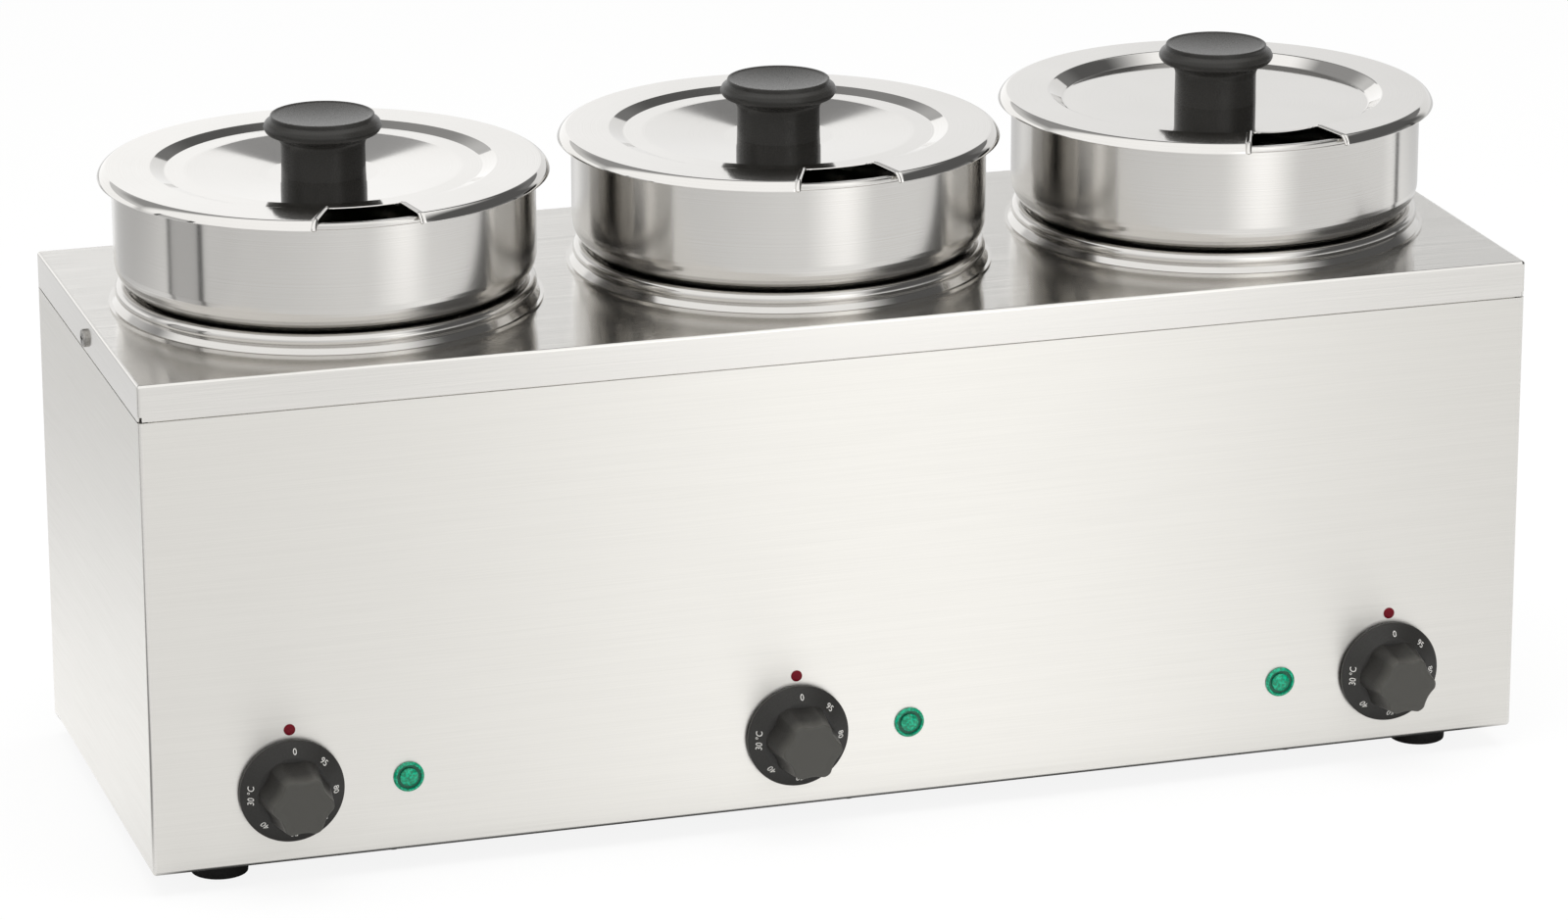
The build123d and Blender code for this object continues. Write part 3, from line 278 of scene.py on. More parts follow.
def out_of_panel(x: float, z: float, gap: float = 0.0) -> Axis:
    """Gives an axis that points from the front panel to the cook.

    Args:
        x: Its place along the panel, in millimetres.
        z: Its height.
        gap: Distance of its foot from the panel.

    Returns:
        The axis, with angle 0 at the top, growing anticlockwise as the cook sees it.
    """
    return Axis((x, PANEL_Y - gap, z), (0.0, -1.0, 0.0), (0.0, 0.0, 1.0))


def turned_grid(profile: np.ndarray, axis: Axis, steps: int) -> np.ndarray:
    """Carries a profile round an axis: p(i, j) = foot + r_i (cos a_j, sin a_j) + h_i along.

    The profile is set to run with the metal on its left, so that the faces point outwards.

    Args:
        profile: Points of radius and height, closed on itself or through the axis.
        axis: The turning axis.
        steps: Columns in a whole turn.

    Returns:
        Grid of points, profile by angle.
    """
    r, h = profile.T
    area = np.sum(r * np.roll(h, -1) - np.roll(r, -1) * h)
    if area < 0:
        r, h = r[::-1], h[::-1]
    angle = np.linspace(0.0, FULL_TURN, steps, endpoint=False)
    radius, turn = np.meshgrid(r, angle, indexing="ij")
    return axis.carry(radius, turn, np.broadcast_to(h[:, None], radius.shape))


def surface(name: str, grid: np.ndarray, ring: bool = False, turn: bool = True) -> Piece:
    """Makes a piece from a grid of points, with its map of turns and lengths.

    Args:
        name: The piece's name.
        grid: Points in millimetres, rows along the profile and columns round it.
        ring: Whether the last row joins the first.
        turn: Whether the last column joins the first.

    Returns:
        The object, with its place in its mesh.
    """
    rows, columns = grid.shape[:2]
    i, j = np.meshgrid(np.arange(rows - (not ring)), np.arange(columns - (not turn)), indexing="ij")
    i, j = i.ravel(), j.ravel()
    here, below, beside = i * columns, (i + 1) % rows * columns, (j + 1) % columns
    quads = np.stack([here + j, here + beside, below + beside, below + j], -1)
    profile = grid[:, columns // 3]
    step = np.linalg.norm(np.diff(profile, axis=0, append=profile[:1]), axis=1)
    length = np.concatenate([[0.0], np.cumsum(step)])
    u = np.stack([j, j + 1, j + 1, j], -1) / columns
    v = np.stack([length[i], length[i], length[i + 1], length[i + 1]], -1) * MM

    mesh = bpy.data.meshes.new(name)
    mesh.vertices.add(rows * columns)
    mesh.vertices.foreach_set("co", (grid * MM).astype(np.float32).ravel())
    mesh.loops.add(quads.size)
    mesh.loops.foreach_set("vertex_index", quads.ravel().astype(np.int32))
    mesh.polygons.add(len(quads))
    mesh.polygons.foreach_set("loop_start", np.arange(0, quads.size, 4, dtype=np.int32))
    layer = mesh.uv_layers.new(name=UV_NAME)
    layer.data.foreach_set("uv", np.stack([u, v], -1).astype(np.float32).ravel())
    mesh.update(calc_edges=True)
    return finished(name, mesh)


def finished(name: str, mesh: bpy.types.Mesh, sharp: float = SHARP) -> Piece:
    """Merges doubled points, sets the shading and puts the mesh in the scene.

    Args:
        name: The piece's name.
        mesh: Its mesh, in metres.
        sharp: Fold, in degrees, from which an edge is drawn sharp.

    Returns:
        The object.
    """
    work = bmesh.new()
    work.from_mesh(mesh)
    bmesh.ops.remove_doubles(work, verts=work.verts, dist=TOUCH)
    bmesh.ops.dissolve_degenerate(work, edges=work.edges, dist=SLIVER)
    work.to_mesh(mesh)
    work.free()
    mesh.shade_smooth()
    mesh.set_sharp_from_angle(angle=radians(sharp))
    piece = bpy.data.objects.new(name, mesh)
    bpy.context.scene.collection.objects.link(piece)
    return piece


def merged(name: str, parts: Sequence[Piece]) -> Piece:
    """Makes one piece of several.

    Args:
        name: The new piece's name.
        parts: The pieces, which are used up.

    Returns:
        The object, with its normals pointing outwards.
    """
    work = bmesh.new()
    for part in parts:
        work.from_mesh(part.data)
        bpy.data.objects.remove(part)
    bmesh.ops.recalc_face_normals(work, faces=work.faces)
    mesh = bpy.data.meshes.new(name)
    work.to_mesh(mesh)
    work.free()
    return finished(name, mesh)


def dress(piece: Piece, material: bpy.types.Material) -> None:
    """Gives every slot of a piece one material.

    Args:
        piece: A new piece or a node of the frame.
        material: Its finish.
    """
    if not piece.material_slots:
        piece.data.materials.append(material)
    for slot in piece.material_slots:
        slot.material = material


def seat(piece: Piece, body: str, slot: str, *nodes: str) -> None:
    """Joins a new piece to its body, and stands it in for its nodes.

    Args:
        piece: The new piece.
        body: The body that carries it.
        slot: The record's material slot; not used.
        nodes: The nodes of the frame that it replaces.
    """
    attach(piece, body)
    if nodes:
        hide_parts(*nodes)
    LOG.info("%s rides on %s, %d faces", piece.name, body, len(piece.data.polygons))


@dataclass(frozen=True)
class Finish(ABC):
    """A finish: its sRGB colours and its roughness, which a fine pattern moves a little."""

    name: str
    colour: str
    darker: str  # the colour at the pattern's low end
    roughness: float
    spread: float = 0.06  # how far the pattern moves the roughness each way
    relief: float = 0.0  # strength of the pattern's bump, which is left out at 0
    depth: float = 0.05  # mm, height of the bump

    @abstractmethod
    def paint(self, tree: Tree, shader: Node) -> None:
        """Draws the finish.

        Args:
            tree: The material's nodes.
            shader: Its shader.
        """

    def material(self) -> bpy.types.Material:
        """Makes the material once and returns it after that."""
        made = bpy.data.materials.get(self.name)
        if made is None:
            made = bpy.data.materials.new(self.name)
            tree = empty_tree(made)
            shader = add_node(tree, "ShaderNodeBsdfPrincipled", inputs={"Roughness": self.roughness})
            add_node(tree, "ShaderNodeOutputMaterial", inputs={"Surface": shader})
            self.paint(tree, shader)
        return made

    def varied(self, tree: Tree, shader: Node, pattern: Node, height: Node | None = None) -> None:
        """Lets a pattern move the colour, the roughness and the surface a little.

        Args:
            tree: The material's nodes.
            shader: Its shader.
            pattern: A node whose values mostly lie between the pattern's limits.
            height: The node that the bump follows, where it isn't the pattern.
        """
        shown = {"Value": pattern} | PATTERN_LIMITS
        low, high, out = MIX_COLOURS
        share = add_node(tree, "ShaderNodeMapRange", inputs=shown)
        colours = {0: share, low: srgb(self.darker), high: srgb(self.colour)}
        tint = add_node(tree, "ShaderNodeMix", {"data_type": "RGBA"}, colours)
        ends = {"To Min": self.roughness + self.spread, "To Max": self.roughness - self.spread}
        rough = add_node(tree, "ShaderNodeMapRange", inputs=shown | ends)
        tree.links.new(tint.outputs[out], shader.inputs["Base Color"])
        tree.links.new(rough.outputs[0], shader.inputs["Roughness"])
        if self.relief:
            rise = {"Height": height or pattern, "Strength": self.relief, "Distance": self.depth * MM}
            bump = add_node(tree, "ShaderNodeBump", inputs=rise)
            tree.links.new(bump.outputs[0], shader.inputs["Normal"])

    def overlaid(self, tree: Tree, shader: Node, share: Node, colour: str) -> None:
        """Lays one more colour over what the shader's colour already is.

        Args:
            tree: The material's nodes.
            shader: Its shader.
            share: The node that says how much of the colour shows, 0 to 1.
            colour: The colour.
        """
        low, high, out = MIX_COLOURS
        under = shader.inputs["Base Color"].links[0].from_socket
        colours = {0: share, low: under, high: srgb(colour)}
        both = add_node(tree, "ShaderNodeMix", {"data_type": "RGBA"}, colours)
        tree.links.new(both.outputs[out], shader.inputs["Base Color"])


@dataclass(frozen=True)
class GroundSteel(Finish):
    """Stainless sheet, ground in long strokes: fine lines, and reflections drawn out across them.

    The strokes run along the housing on its front, top, rear and base, and from front to rear on its ends.
    """

    spread: float = 0.03
    relief: float = 0.02
    depth: float = 0.02  # mm
    stroke_length: float = 70.0  # mm
    stroke_width: float = 0.55  # mm; the real strokes, about 0.1, are too fine to show
    end_facing: float = 0.6  # part of a normal along the housing from which a face belongs to an end
    anisotropy: float = 0.75

    def paint(self, tree: Tree, shader: Node) -> None:
        """Draws the strokes and turns the reflections across them.

        Args:
            tree: The material's nodes.
            shader: Its shader.
        """
        place = add_node(tree, "ShaderNodeTexCoord").outputs["Object"]
        normal = add_node(tree, "ShaderNodeNewGeometry").outputs["Normal"]
        facing = add_node(tree, "ShaderNodeSeparateXYZ", inputs={0: normal})
        size = add_node(tree, "ShaderNodeMath", {"operation": "ABSOLUTE"}, {0: facing})
        end = add_node(tree, "ShaderNodeMath", {"operation": "GREATER_THAN"}, {0: size, 1: self.end_facing})
        long, fine = 1 / (self.stroke_length * MM), 1 / (self.stroke_width * MM)
        low, high, out = MIX_VECTORS
        mixed = {"data_type": "VECTOR"}
        scales = {0: end, low: (long, fine, fine), high: (fine, long, fine)}
        scale = add_node(tree, "ShaderNodeMix", mixed, scales)
        directions = {0: end, low: (1.0, 0.0, 0.0), high: (0.0, 1.0, 0.0)}
        across = add_node(tree, "ShaderNodeMix", mixed, directions)
        drawn = {0: place, 1: scale.outputs[out]}
        stretched = add_node(tree, "ShaderNodeVectorMath", {"operation": "MULTIPLY"}, drawn)
        noise = {"Vector": stretched, "Scale": 1.0, "Detail": 3.0, "Roughness": 0.6}
        strokes = add_node(tree, "ShaderNodeTexNoise", inputs=noise)
        turned = {0: normal, 1: across.outputs[out]}
        tangent = add_node(tree, "ShaderNodeVectorMath", {"operation": "CROSS_PRODUCT"}, turned)
        self.varied(tree, shader, strokes)
        shader.inputs["Metallic"].default_value = 1.0
        shader.inputs["Anisotropic"].default_value = self.anisotropy
        tree.links.new(tangent.outputs[0], shader.inputs["Tangent"])


@dataclass(frozen=True)
class SpunSteel(Finish):
    """Stainless sheet, spun and polished: rings round the axis, and reflections drawn out across them."""

    spread: float = 0.03
    relief: float = 0.05
    depth: float = 0.02  # mm
    ring_width: float = 0.6  # mm; the real rings, about 0.15, are too fine to show
    mottle: float = 55.5556  # mm
    mottle_share: float = 0.35
    anisotropy: float = 0.5
    across: float = 0.25  # of a turn, from along the rings to along the profile

    def paint(self, tree: Tree, shader: Node) -> None:
        """Draws the rings along the profile's length, and a slow mottle over them.

        Args:
            tree: The material's nodes.
            shader: Its shader.
        """
        spin = add_node(tree, "ShaderNodeUVMap", {"uv_map": UV_NAME})
        along = add_node(tree, "ShaderNodeSeparateXYZ", inputs={0: spin}).outputs["Y"]
        noise = {"W": along, "Scale": 1 / (self.ring_width * MM), "Detail": 3.0, "Roughness": 0.65}
        rings = add_node(tree, "ShaderNodeTexNoise", {"noise_dimensions": "1D"}, noise)
        place = add_node(tree, "ShaderNodeTexCoord").outputs["Object"]
        slow = {"Vector": place, "Scale": 1 / (self.mottle * MM), "Detail": 2.0}
        mottle = add_node(tree, "ShaderNodeTexNoise", inputs=slow)
        low, high, _ = MIX_VALUES
        both = add_node(tree, "ShaderNodeMix", inputs={0: self.mottle_share, low: rings, high: mottle})
        tangent = add_node(tree, "ShaderNodeTangent", {"direction_type": "UV_MAP", "uv_map": UV_NAME})
        self.varied(tree, shader, both, rings)
        shader.inputs["Metallic"].default_value = 1.0
        shader.inputs["Anisotropic"].default_value = self.anisotropy
        shader.inputs["Anisotropic Rotation"].default_value = self.across
        tree.links.new(tangent.outputs[0], shader.inputs["Tangent"])


@dataclass(frozen=True)
class SmallMetal(Finish):
    """Pressed, turned or cast metal of small pieces: an even sheen with a fine mottle."""

    grain: float = 1.2  # mm

    def paint(self, tree: Tree, shader: Node) -> None:
        """Draws the mottle.

        Args:
            tree: The material's nodes.
            shader: Its shader.
        """
        place = add_node(tree, "ShaderNodeTexCoord").outputs["Object"]
        noise = {"Vector": place, "Scale": 1 / (self.grain * MM), "Detail": 3.0}
        self.varied(tree, shader, add_node(tree, "ShaderNodeTexNoise", inputs=noise))
        shader.inputs["Metallic"].default_value = 1.0


@dataclass(frozen=True)
class MouldedPlastic(Finish):
    """Moulded plastic or rubber: an even colour and the fine grain of the mould."""

    relief: float = 0.2
    grain: float = 0.5  # mm
    gloss: float = 0.5

    def paint(self, tree: Tree, shader: Node) -> None:
        """Draws the grain.

        Args:
            tree: The material's nodes.
            shader: Its shader.
        """
        place = add_node(tree, "ShaderNodeTexCoord").outputs["Object"]
        noise = {"Vector": place, "Scale": 1 / (self.grain * MM), "Detail": 2.0}
        self.varied(tree, shader, add_node(tree, "ShaderNodeTexNoise", inputs=noise))
        shader.inputs["Specular IOR Level"].default_value = self.gloss


@dataclass(frozen=True)
class FaceLitPlastic(MouldedPlastic):
    """Moulded plastic of a knob, with painted light: a lighter grey on the grip's front, beyond one length
    along its profile.
    """

    # painted light: the grip's front is drawn in this lighter grey, as the lamps light it
    painted_light: str = "#474642"
    painted_light_from: float = 58.0  # mm
    painted_light_over: float = 8.0  # mm

    def paint(self, tree: Tree, shader: Node) -> None:
        """Draws the grain, and the painted light over it.

        Args:
            tree: The material's nodes.
            shader: Its shader.
        """
        super().paint(tree, shader)
        spin = add_node(tree, "ShaderNodeUVMap", {"uv_map": UV_NAME})
        along = add_node(tree, "ShaderNodeSeparateXYZ", inputs={0: spin}).outputs["Y"]
        edge, over = self.painted_light_from * MM, self.painted_light_over * MM
        limits = {"Value": along, "From Min": edge, "From Max": edge + over}
        share = add_node(tree, "ShaderNodeMapRange", inputs=limits)
        # painted light laid over the grip's front
        self.overlaid(tree, shader, share, self.painted_light)


@dataclass(frozen=True)
class LampPlastic(Finish):
    """Clear green polycarbonate over a dark lamp: painted shade in its grooves, pebbled inside its dome."""

    spread: float = 0.05
    relief: float = 0.35
    depth: float = 0.2  # mm
    # painted shade: the groove's darkest green
    groove_shade: str = "#00634A"
    pebble: float = 1.1  # mm
    groove_foot: float = 0.35  # mm in front of the panel, where the painted shade in the groove is darkest
    groove_top: float = 0.9  # mm, where the painted shade ends
    coat: float = 0.2
    coat_roughness: float = 0.08
    gloss: float = 0.3

    def paint(self, tree: Tree, shader: Node) -> None:
        """Draws the pebbles, a painted shade in the groove and a clear coat over them.

        Args:
            tree: The material's nodes.
            shader: Its shader.
        """
        place = add_node(tree, "ShaderNodeTexCoord").outputs["Object"]
        cells = {"Vector": place, "Scale": 1 / (self.pebble * MM), "Smoothness": 0.6}
        self.varied(tree, shader, add_node(tree, "ShaderNodeTexVoronoi", {"feature": "SMOOTH_F1"}, cells))
        # painted shade: darker green towards the groove's foot, by distance from the panel
        limits = {
            "Value": add_node(tree, "ShaderNodeSeparateXYZ", inputs={0: place}).outputs["Y"],
            "From Min": (PANEL_Y - self.groove_top) * MM,
            "From Max": (PANEL_Y - self.groove_foot) * MM,
        }
        groove = add_node(tree, "ShaderNodeMapRange", inputs=limits)
        self.overlaid(tree, shader, groove, self.groove_shade)
        shader.inputs["Coat Weight"].default_value = self.coat
        shader.inputs["Coat Roughness"].default_value = self.coat_roughness
        shader.inputs["Specular IOR Level"].default_value = self.gloss


# Stainless sheet, ground lengthwise: the front is duller than the cover
PANEL_STEEL = GroundSteel("ground_stainless_panel", "#DDDBD6", "#D9D7D2", 0.34)
COVER_STEEL = GroundSteel("ground_stainless_cover", "#DEDCD8", "#D7D5D1", 0.145, anisotropy=0.9)
# Stainless sheet, spun or drawn and then polished: bright, with soft rings
POT_STEEL = SpunSteel("spun_stainless_pot", "#CFCDCA", "#C7C5C1", 0.16, anisotropy=0.9)
LID_STEEL = SpunSteel("spun_stainless_lid", "#DAD8D5", "#D1CFCB", 0.06, anisotropy=0.6)
WELL_STEEL = SpunSteel("drawn_stainless_well", "#CECCC9", "#C6C4C0", 0.14)
# Turned stainless, the heaters' sheath, cast aluminium and drawn copper: small and dull
SCREW_STEEL = SmallMetal("stainless_screw", "#A6A4A0", "#8C8A87", 0.34)
ELEMENT_STEEL = SmallMetal("heater_sheath_steel", "#8E8A84", "#6E6A66", 0.42)
PLATE_ALUMINIUM = SmallMetal("cast_aluminium", "#B9BAB9", "#9C9D9C", 0.45, grain=2.5)
PROBE_COPPER = SmallMetal("drawn_copper", "#C58A66", "#A86F4F", 0.3, grain=2.0)
# Phenolic knobs, polyamide fittings, dial print and rubber: even, with the mould's fine grain, but for
# painted light on the dial's grip
BLACK_PLASTIC = MouldedPlastic("black_phenolic", "#343331", "#2E2D2B", 0.28, gloss=0.2)
DIAL_PLASTIC = FaceLitPlastic("black_dial_plastic", "#2B2A28", "#252422", 0.44, grain=0.6, gloss=0.3)
WHITE_PLASTIC = MouldedPlastic("white_polyamide", "#E6E4DE", "#D9D6CE", 0.45, grain=1.0)
DIAL_INK = MouldedPlastic("white_dial_print", "#E4E3DF", "#D2D0CB", 0.5, relief=0.05, grain=0.4)
STUD_RED = MouldedPlastic("red_polyamide_stud", "#6E071A", "#600516", 0.4, relief=0.05, grain=0.8, gloss=0.15)
FOOT_RUBBER = MouldedPlastic("black_rubber", "#1E1D1C", "#171615", 0.6, relief=0.3, grain=0.9, gloss=0.35)
# Clear green plastic: painted shade in the groove, with a wet gloss
LAMP_GREEN = LampPlastic("green_polycarbonate", "#00B489", "#007A57", 0.25)


@dataclass
class Housing:
    """The folded steel housing, its screws and feet, and what it holds: nodes of the frame, dressed."""

    panels: tuple[str, ...] = ("rear_panel", "base_plate")
    covers: tuple[str, ...] = ("top_cover",)
    screws: tuple[str, ...] = (
        "cover_screws",
        "case_screws",
        "thermostat_screws",
        "foot_screws",
        "foot_nuts",
        "heater_nuts",
        "terminal_screws",
        "heater_clamps",
        "probe_brackets",
    )
    black: tuple[str, ...] = ("cable_gland", "gland_nut", "lamp_nuts")
    white: tuple[str, ...] = ("terminal_block",)
    rubber: tuple[str, ...] = ("feet",)

    def dress(self, nodes: Mapping[str, Piece]) -> None:
        """Gives each fixed node its finish.

        Args:
            nodes: The frame's nodes by name.
        """
        finishes = {
            self.panels: PANEL_STEEL,
            self.covers: COVER_STEEL,
            self.screws: SCREW_STEEL,
            self.black: BLACK_PLASTIC,
            self.white: WHITE_PLASTIC,
            self.rubber: FOOT_RUBBER,
        }
        for names, finish in finishes.items():
            for name in names:
                dress(nodes[name], finish.material())
                LOG.info("%s dressed in %s", name, finish.name)


@dataclass
class Casing:
    """The folded casing, as packed, with its lower fold rounded as bent sheet is. Sizes in mm."""

    fold: float = 2.4  # outer radius
    steps: int = 12
    sharp: float = 5.0  # degrees; under the step between two facets of a fold, so that the walls stay flat
    held: float = 0.4  # from the fold to the cut
    corner: float = 2.05  # how far in from the walls the upright folds reach
    rear_share: float = 0.9  # part of that reach within which an edge belongs to the rear
    near: float = 0.001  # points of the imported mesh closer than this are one
    slant: float = 0.05  # part of a normal that counts as leaning
    level: float = 0.9  # part of a normal from which a face counts as level
    upright: float = 0.1  # part of a normal up to which a face counts as upright
    flat: float = 0.001  # radians; a fold of less is flat

    def lower_edge(self, work: bmesh.types.BMesh, low: Vector, high: Vector) -> list[bmesh.types.BMEdge]:
        """Finds the casing's lower outer edge, at the front and both ends.

        Args:
            work: The casing's mesh.
            low: The casing's lowest corner.
            high: Its highest corner.

        Returns:
            Edges between a wall and the lip under it.
        """
        reach = self.corner * MM
        found = []
        for edge in work.edges:
            walls = [min(v.co.x - low.x, high.x - v.co.x, v.co.y - low.y) for v in edge.verts]
            rear = max(v.co.y for v in edge.verts) > high.y - self.rear_share * reach
            raised = max(v.co.z for v in edge.verts) > low.z + self.near * MM
            if rear or raised or max(walls) > reach:
                continue
            slopes = sorted(face.normal.z for face in edge.link_faces)
            if slopes[0] < -self.level and slopes[-1] > -self.upright:
                found.append(edge)
        return found

    def build(self, node: Piece) -> None:
        """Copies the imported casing, cuts its walls just above the fold and rounds the edge below the cut.

        The facets of the folds, which lean two ways, are brighter than the walls: the bending burnishes them.

        Args:
            node: The casing of the frame.
        """
        low, high = (Vector(corner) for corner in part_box("casing"))
        work = bmesh.new()
        work.from_mesh(node.data)
        bmesh.ops.remove_doubles(work, verts=work.verts, dist=self.near * MM)
        cut = low.z + (self.fold + self.held) * MM
        bmesh.ops.bisect_plane(
            work,
            geom=[*work.verts, *work.edges, *work.faces],
            dist=TOUCH,
            plane_co=(0.0, 0.0, cut),
            plane_no=(0.0, 0.0, 1.0),
        )
        upright = {face for face in work.faces if abs(face.normal.z) < self.upright}
        walls = {face for face in upright if face.calc_center_median().z < cut}
        inner = [edge for edge in work.edges if walls.issuperset(edge.link_faces)]
        flat = [edge for edge in inner if edge.calc_face_angle(1.0) < self.flat]
        bmesh.ops.dissolve_edges(work, edges=flat, use_verts=False)
        bmesh.ops.bevel(
            work,
            geom=self.lower_edge(work, low, high),
            offset=self.fold * MM,
            offset_type="OFFSET",
            segments=self.steps,
            profile=0.5,
            affect="EDGES",
            clamp_overlap=False,
        )
        for face in work.faces:
            leaning = sum(abs(part) > self.slant for part in face.normal)
            face.material_index = int(leaning > 1)
        mesh = bpy.data.meshes.new("casing_sheet")
        work.to_mesh(mesh)
        work.free()
        for finish in (PANEL_STEEL, COVER_STEEL):
            mesh.materials.append(finish.material())
        piece = finished("casing_sheet", mesh, self.sharp)
        seat(piece, HOUSING, "housing_steel", "casing")


@dataclass
class Station:
    """What stands at one place: its side, and the nodes of the frame that keep their own shape."""

    side: Side

    def named(self, name: str) -> str:
        """Returns the name of this station's own piece."""
        return f"{name}_{self.side.value}"

    def upright(self, z: float = 0.0) -> Axis:
        """Returns the axis of the station's pot, from a height in mm upwards."""
        return Axis((POT_X[self.side], 0.0, z))

    def dress(self, nodes: Mapping[str, Piece]) -> None:
        """Gives the station's inner nodes their finishes.

        Args:
            nodes: The frame's nodes by name.
        """
        finishes = {
            "lid_knob_screw": SCREW_STEEL,
            "heat_plate": PLATE_ALUMINIUM,
            "heater_element": ELEMENT_STEEL,
            "thermostat_shaft": SCREW_STEEL,
            "thermostat_body": WHITE_PLASTIC,
            "thermostat_probe": PROBE_COPPER,
            "lamp_body": BLACK_PLASTIC,
        }
        for name, finish in finishes.items():
            dress(nodes[self.named(name)], finish.material())
            LOG.info("%s dressed in %s", self.named(name), finish.name)


@dataclass
class Well(Station):
    """The drawn well: a foot on the cover, a rolled bead, a seat for the pot and a deep bowl. Sizes in mm."""

    foot: float = 113.2
    sheet: float = 1.0
    bead_middle: float = 106.5
    bead_radius: float = 3.4
    bead_z: float = 281.2
    bead_steps: int = 20
    undercut: float = 60.0  # degrees
    sole: float = 1.8
    lip_top: float = 2.2  # from the bead's middle in to the lip's upper corner
    lip_round: float = 1.6
    lip_foot: float = 3.4  # from the bead's middle in to the seat
    seat_round: float = 1.2
    wall: float = 93.8
    wall_round: float = 2.0
    floor: float = 110.0
    base_round: float = 10.0
    columns: int = 192

    def build(self) -> None:
        """Makes the well from one profile, foot to floor, with its sheet below and outside."""
        bend = np.linspace(radians(-self.undercut), np.pi / 2, self.bead_steps)
        out, up = self.bead_radius * np.cos(bend), self.bead_radius * np.sin(bend)
        bead = np.stack([self.bead_middle + out, self.bead_z + up], -1)
        bead_top = self.bead_z + self.bead_radius
        sole_z = COVER_TOP + self.sheet
        sole = np.array([[self.foot, sole_z], [self.foot - self.sole, sole_z]])
        outside = held_flat(np.concatenate([sole, bead[:1]]))[:-1]
        inside = rounded(
            [
                (self.bead_middle, bead_top, 0.0),
                (self.bead_middle - self.lip_top, bead_top, self.lip_round),
                (self.bead_middle - self.lip_foot, SEAT_Z, self.seat_round),
                (self.wall, SEAT_Z, self.wall_round),
                (self.wall, self.floor, self.base_round),
                (0.0, self.floor, 0.0),
            ]
        )
        skin = np.concatenate([outside, bead, inside[1:]])
        grid = turned_grid(walled(skin, self.sheet), self.upright(), self.columns)
        piece = surface(self.named("well_shell"), grid, ring=True)
        dress(piece, WELL_STEEL.material())
        seat(piece, HOUSING, "well_steel", self.named("well"))


@dataclass
class Pot(Station):
    """The insert pot: a wide upper wall with a rolled rim, a shoulder and a straight body. Sizes in mm."""

    wall_radius: float = 110.0
    sheet: float = 0.8
    rim_radius: float = 112.8
    rim_height: float = 3.4
    rim_round: float = 1.2
    rim_inside: float = 0.6  # rounding of the rim's inner edge
    rim_under: float = 0.5  # rounding where the wall meets the rim
    seam: float = 6.0  # from the rim down to where the profile starts, on the inner wall
    seam_gap: float = 0.2
    shoulder: float = 15.5
    neck: float = 2.0
    body: float = 92.0
    base: float = 130.0
    base_round: float = 12.0
    bend_steps: int = 10
    columns: int = 192

    def build(self) -> None:
        """Makes the pot from one closed profile, rim to base and back up inside."""
        inner, t = self.wall_radius - self.sheet, self.sheet
        profile = rounded(
            [
                (inner, RIM_TOP - self.seam, 0.0),
                (inner, RIM_TOP, self.rim_inside),
                (self.rim_radius, RIM_TOP, self.rim_round),
                (self.rim_radius, RIM_TOP - self.rim_height, self.rim_round),
                (self.wall_radius, RIM_TOP - self.rim_height, self.rim_under),
                (self.wall_radius, SEAT_Z, self.shoulder),
                (self.body, SEAT_Z, self.neck),
                (self.body, self.base, self.base_round),
                (0.0, self.base, 0.0),
                (0.0, self.base + t, 0.0),
                (self.body - t, self.base + t, self.base_round - t),
                (self.body - t, SEAT_Z + t, self.neck + t),
                (inner, SEAT_Z + t, self.shoulder - t),
                (inner, RIM_TOP - self.seam - self.seam_gap, 0.0),
            ],
            self.bend_steps,
        )
        grid = turned_grid(profile, self.upright(), self.columns)
        piece = surface(self.named("pot_shell"), grid, ring=True)
        dress(piece, POT_STEEL.material())
        seat(piece, self.named("pot") + "_body", "pot_steel", self.named("pot"))


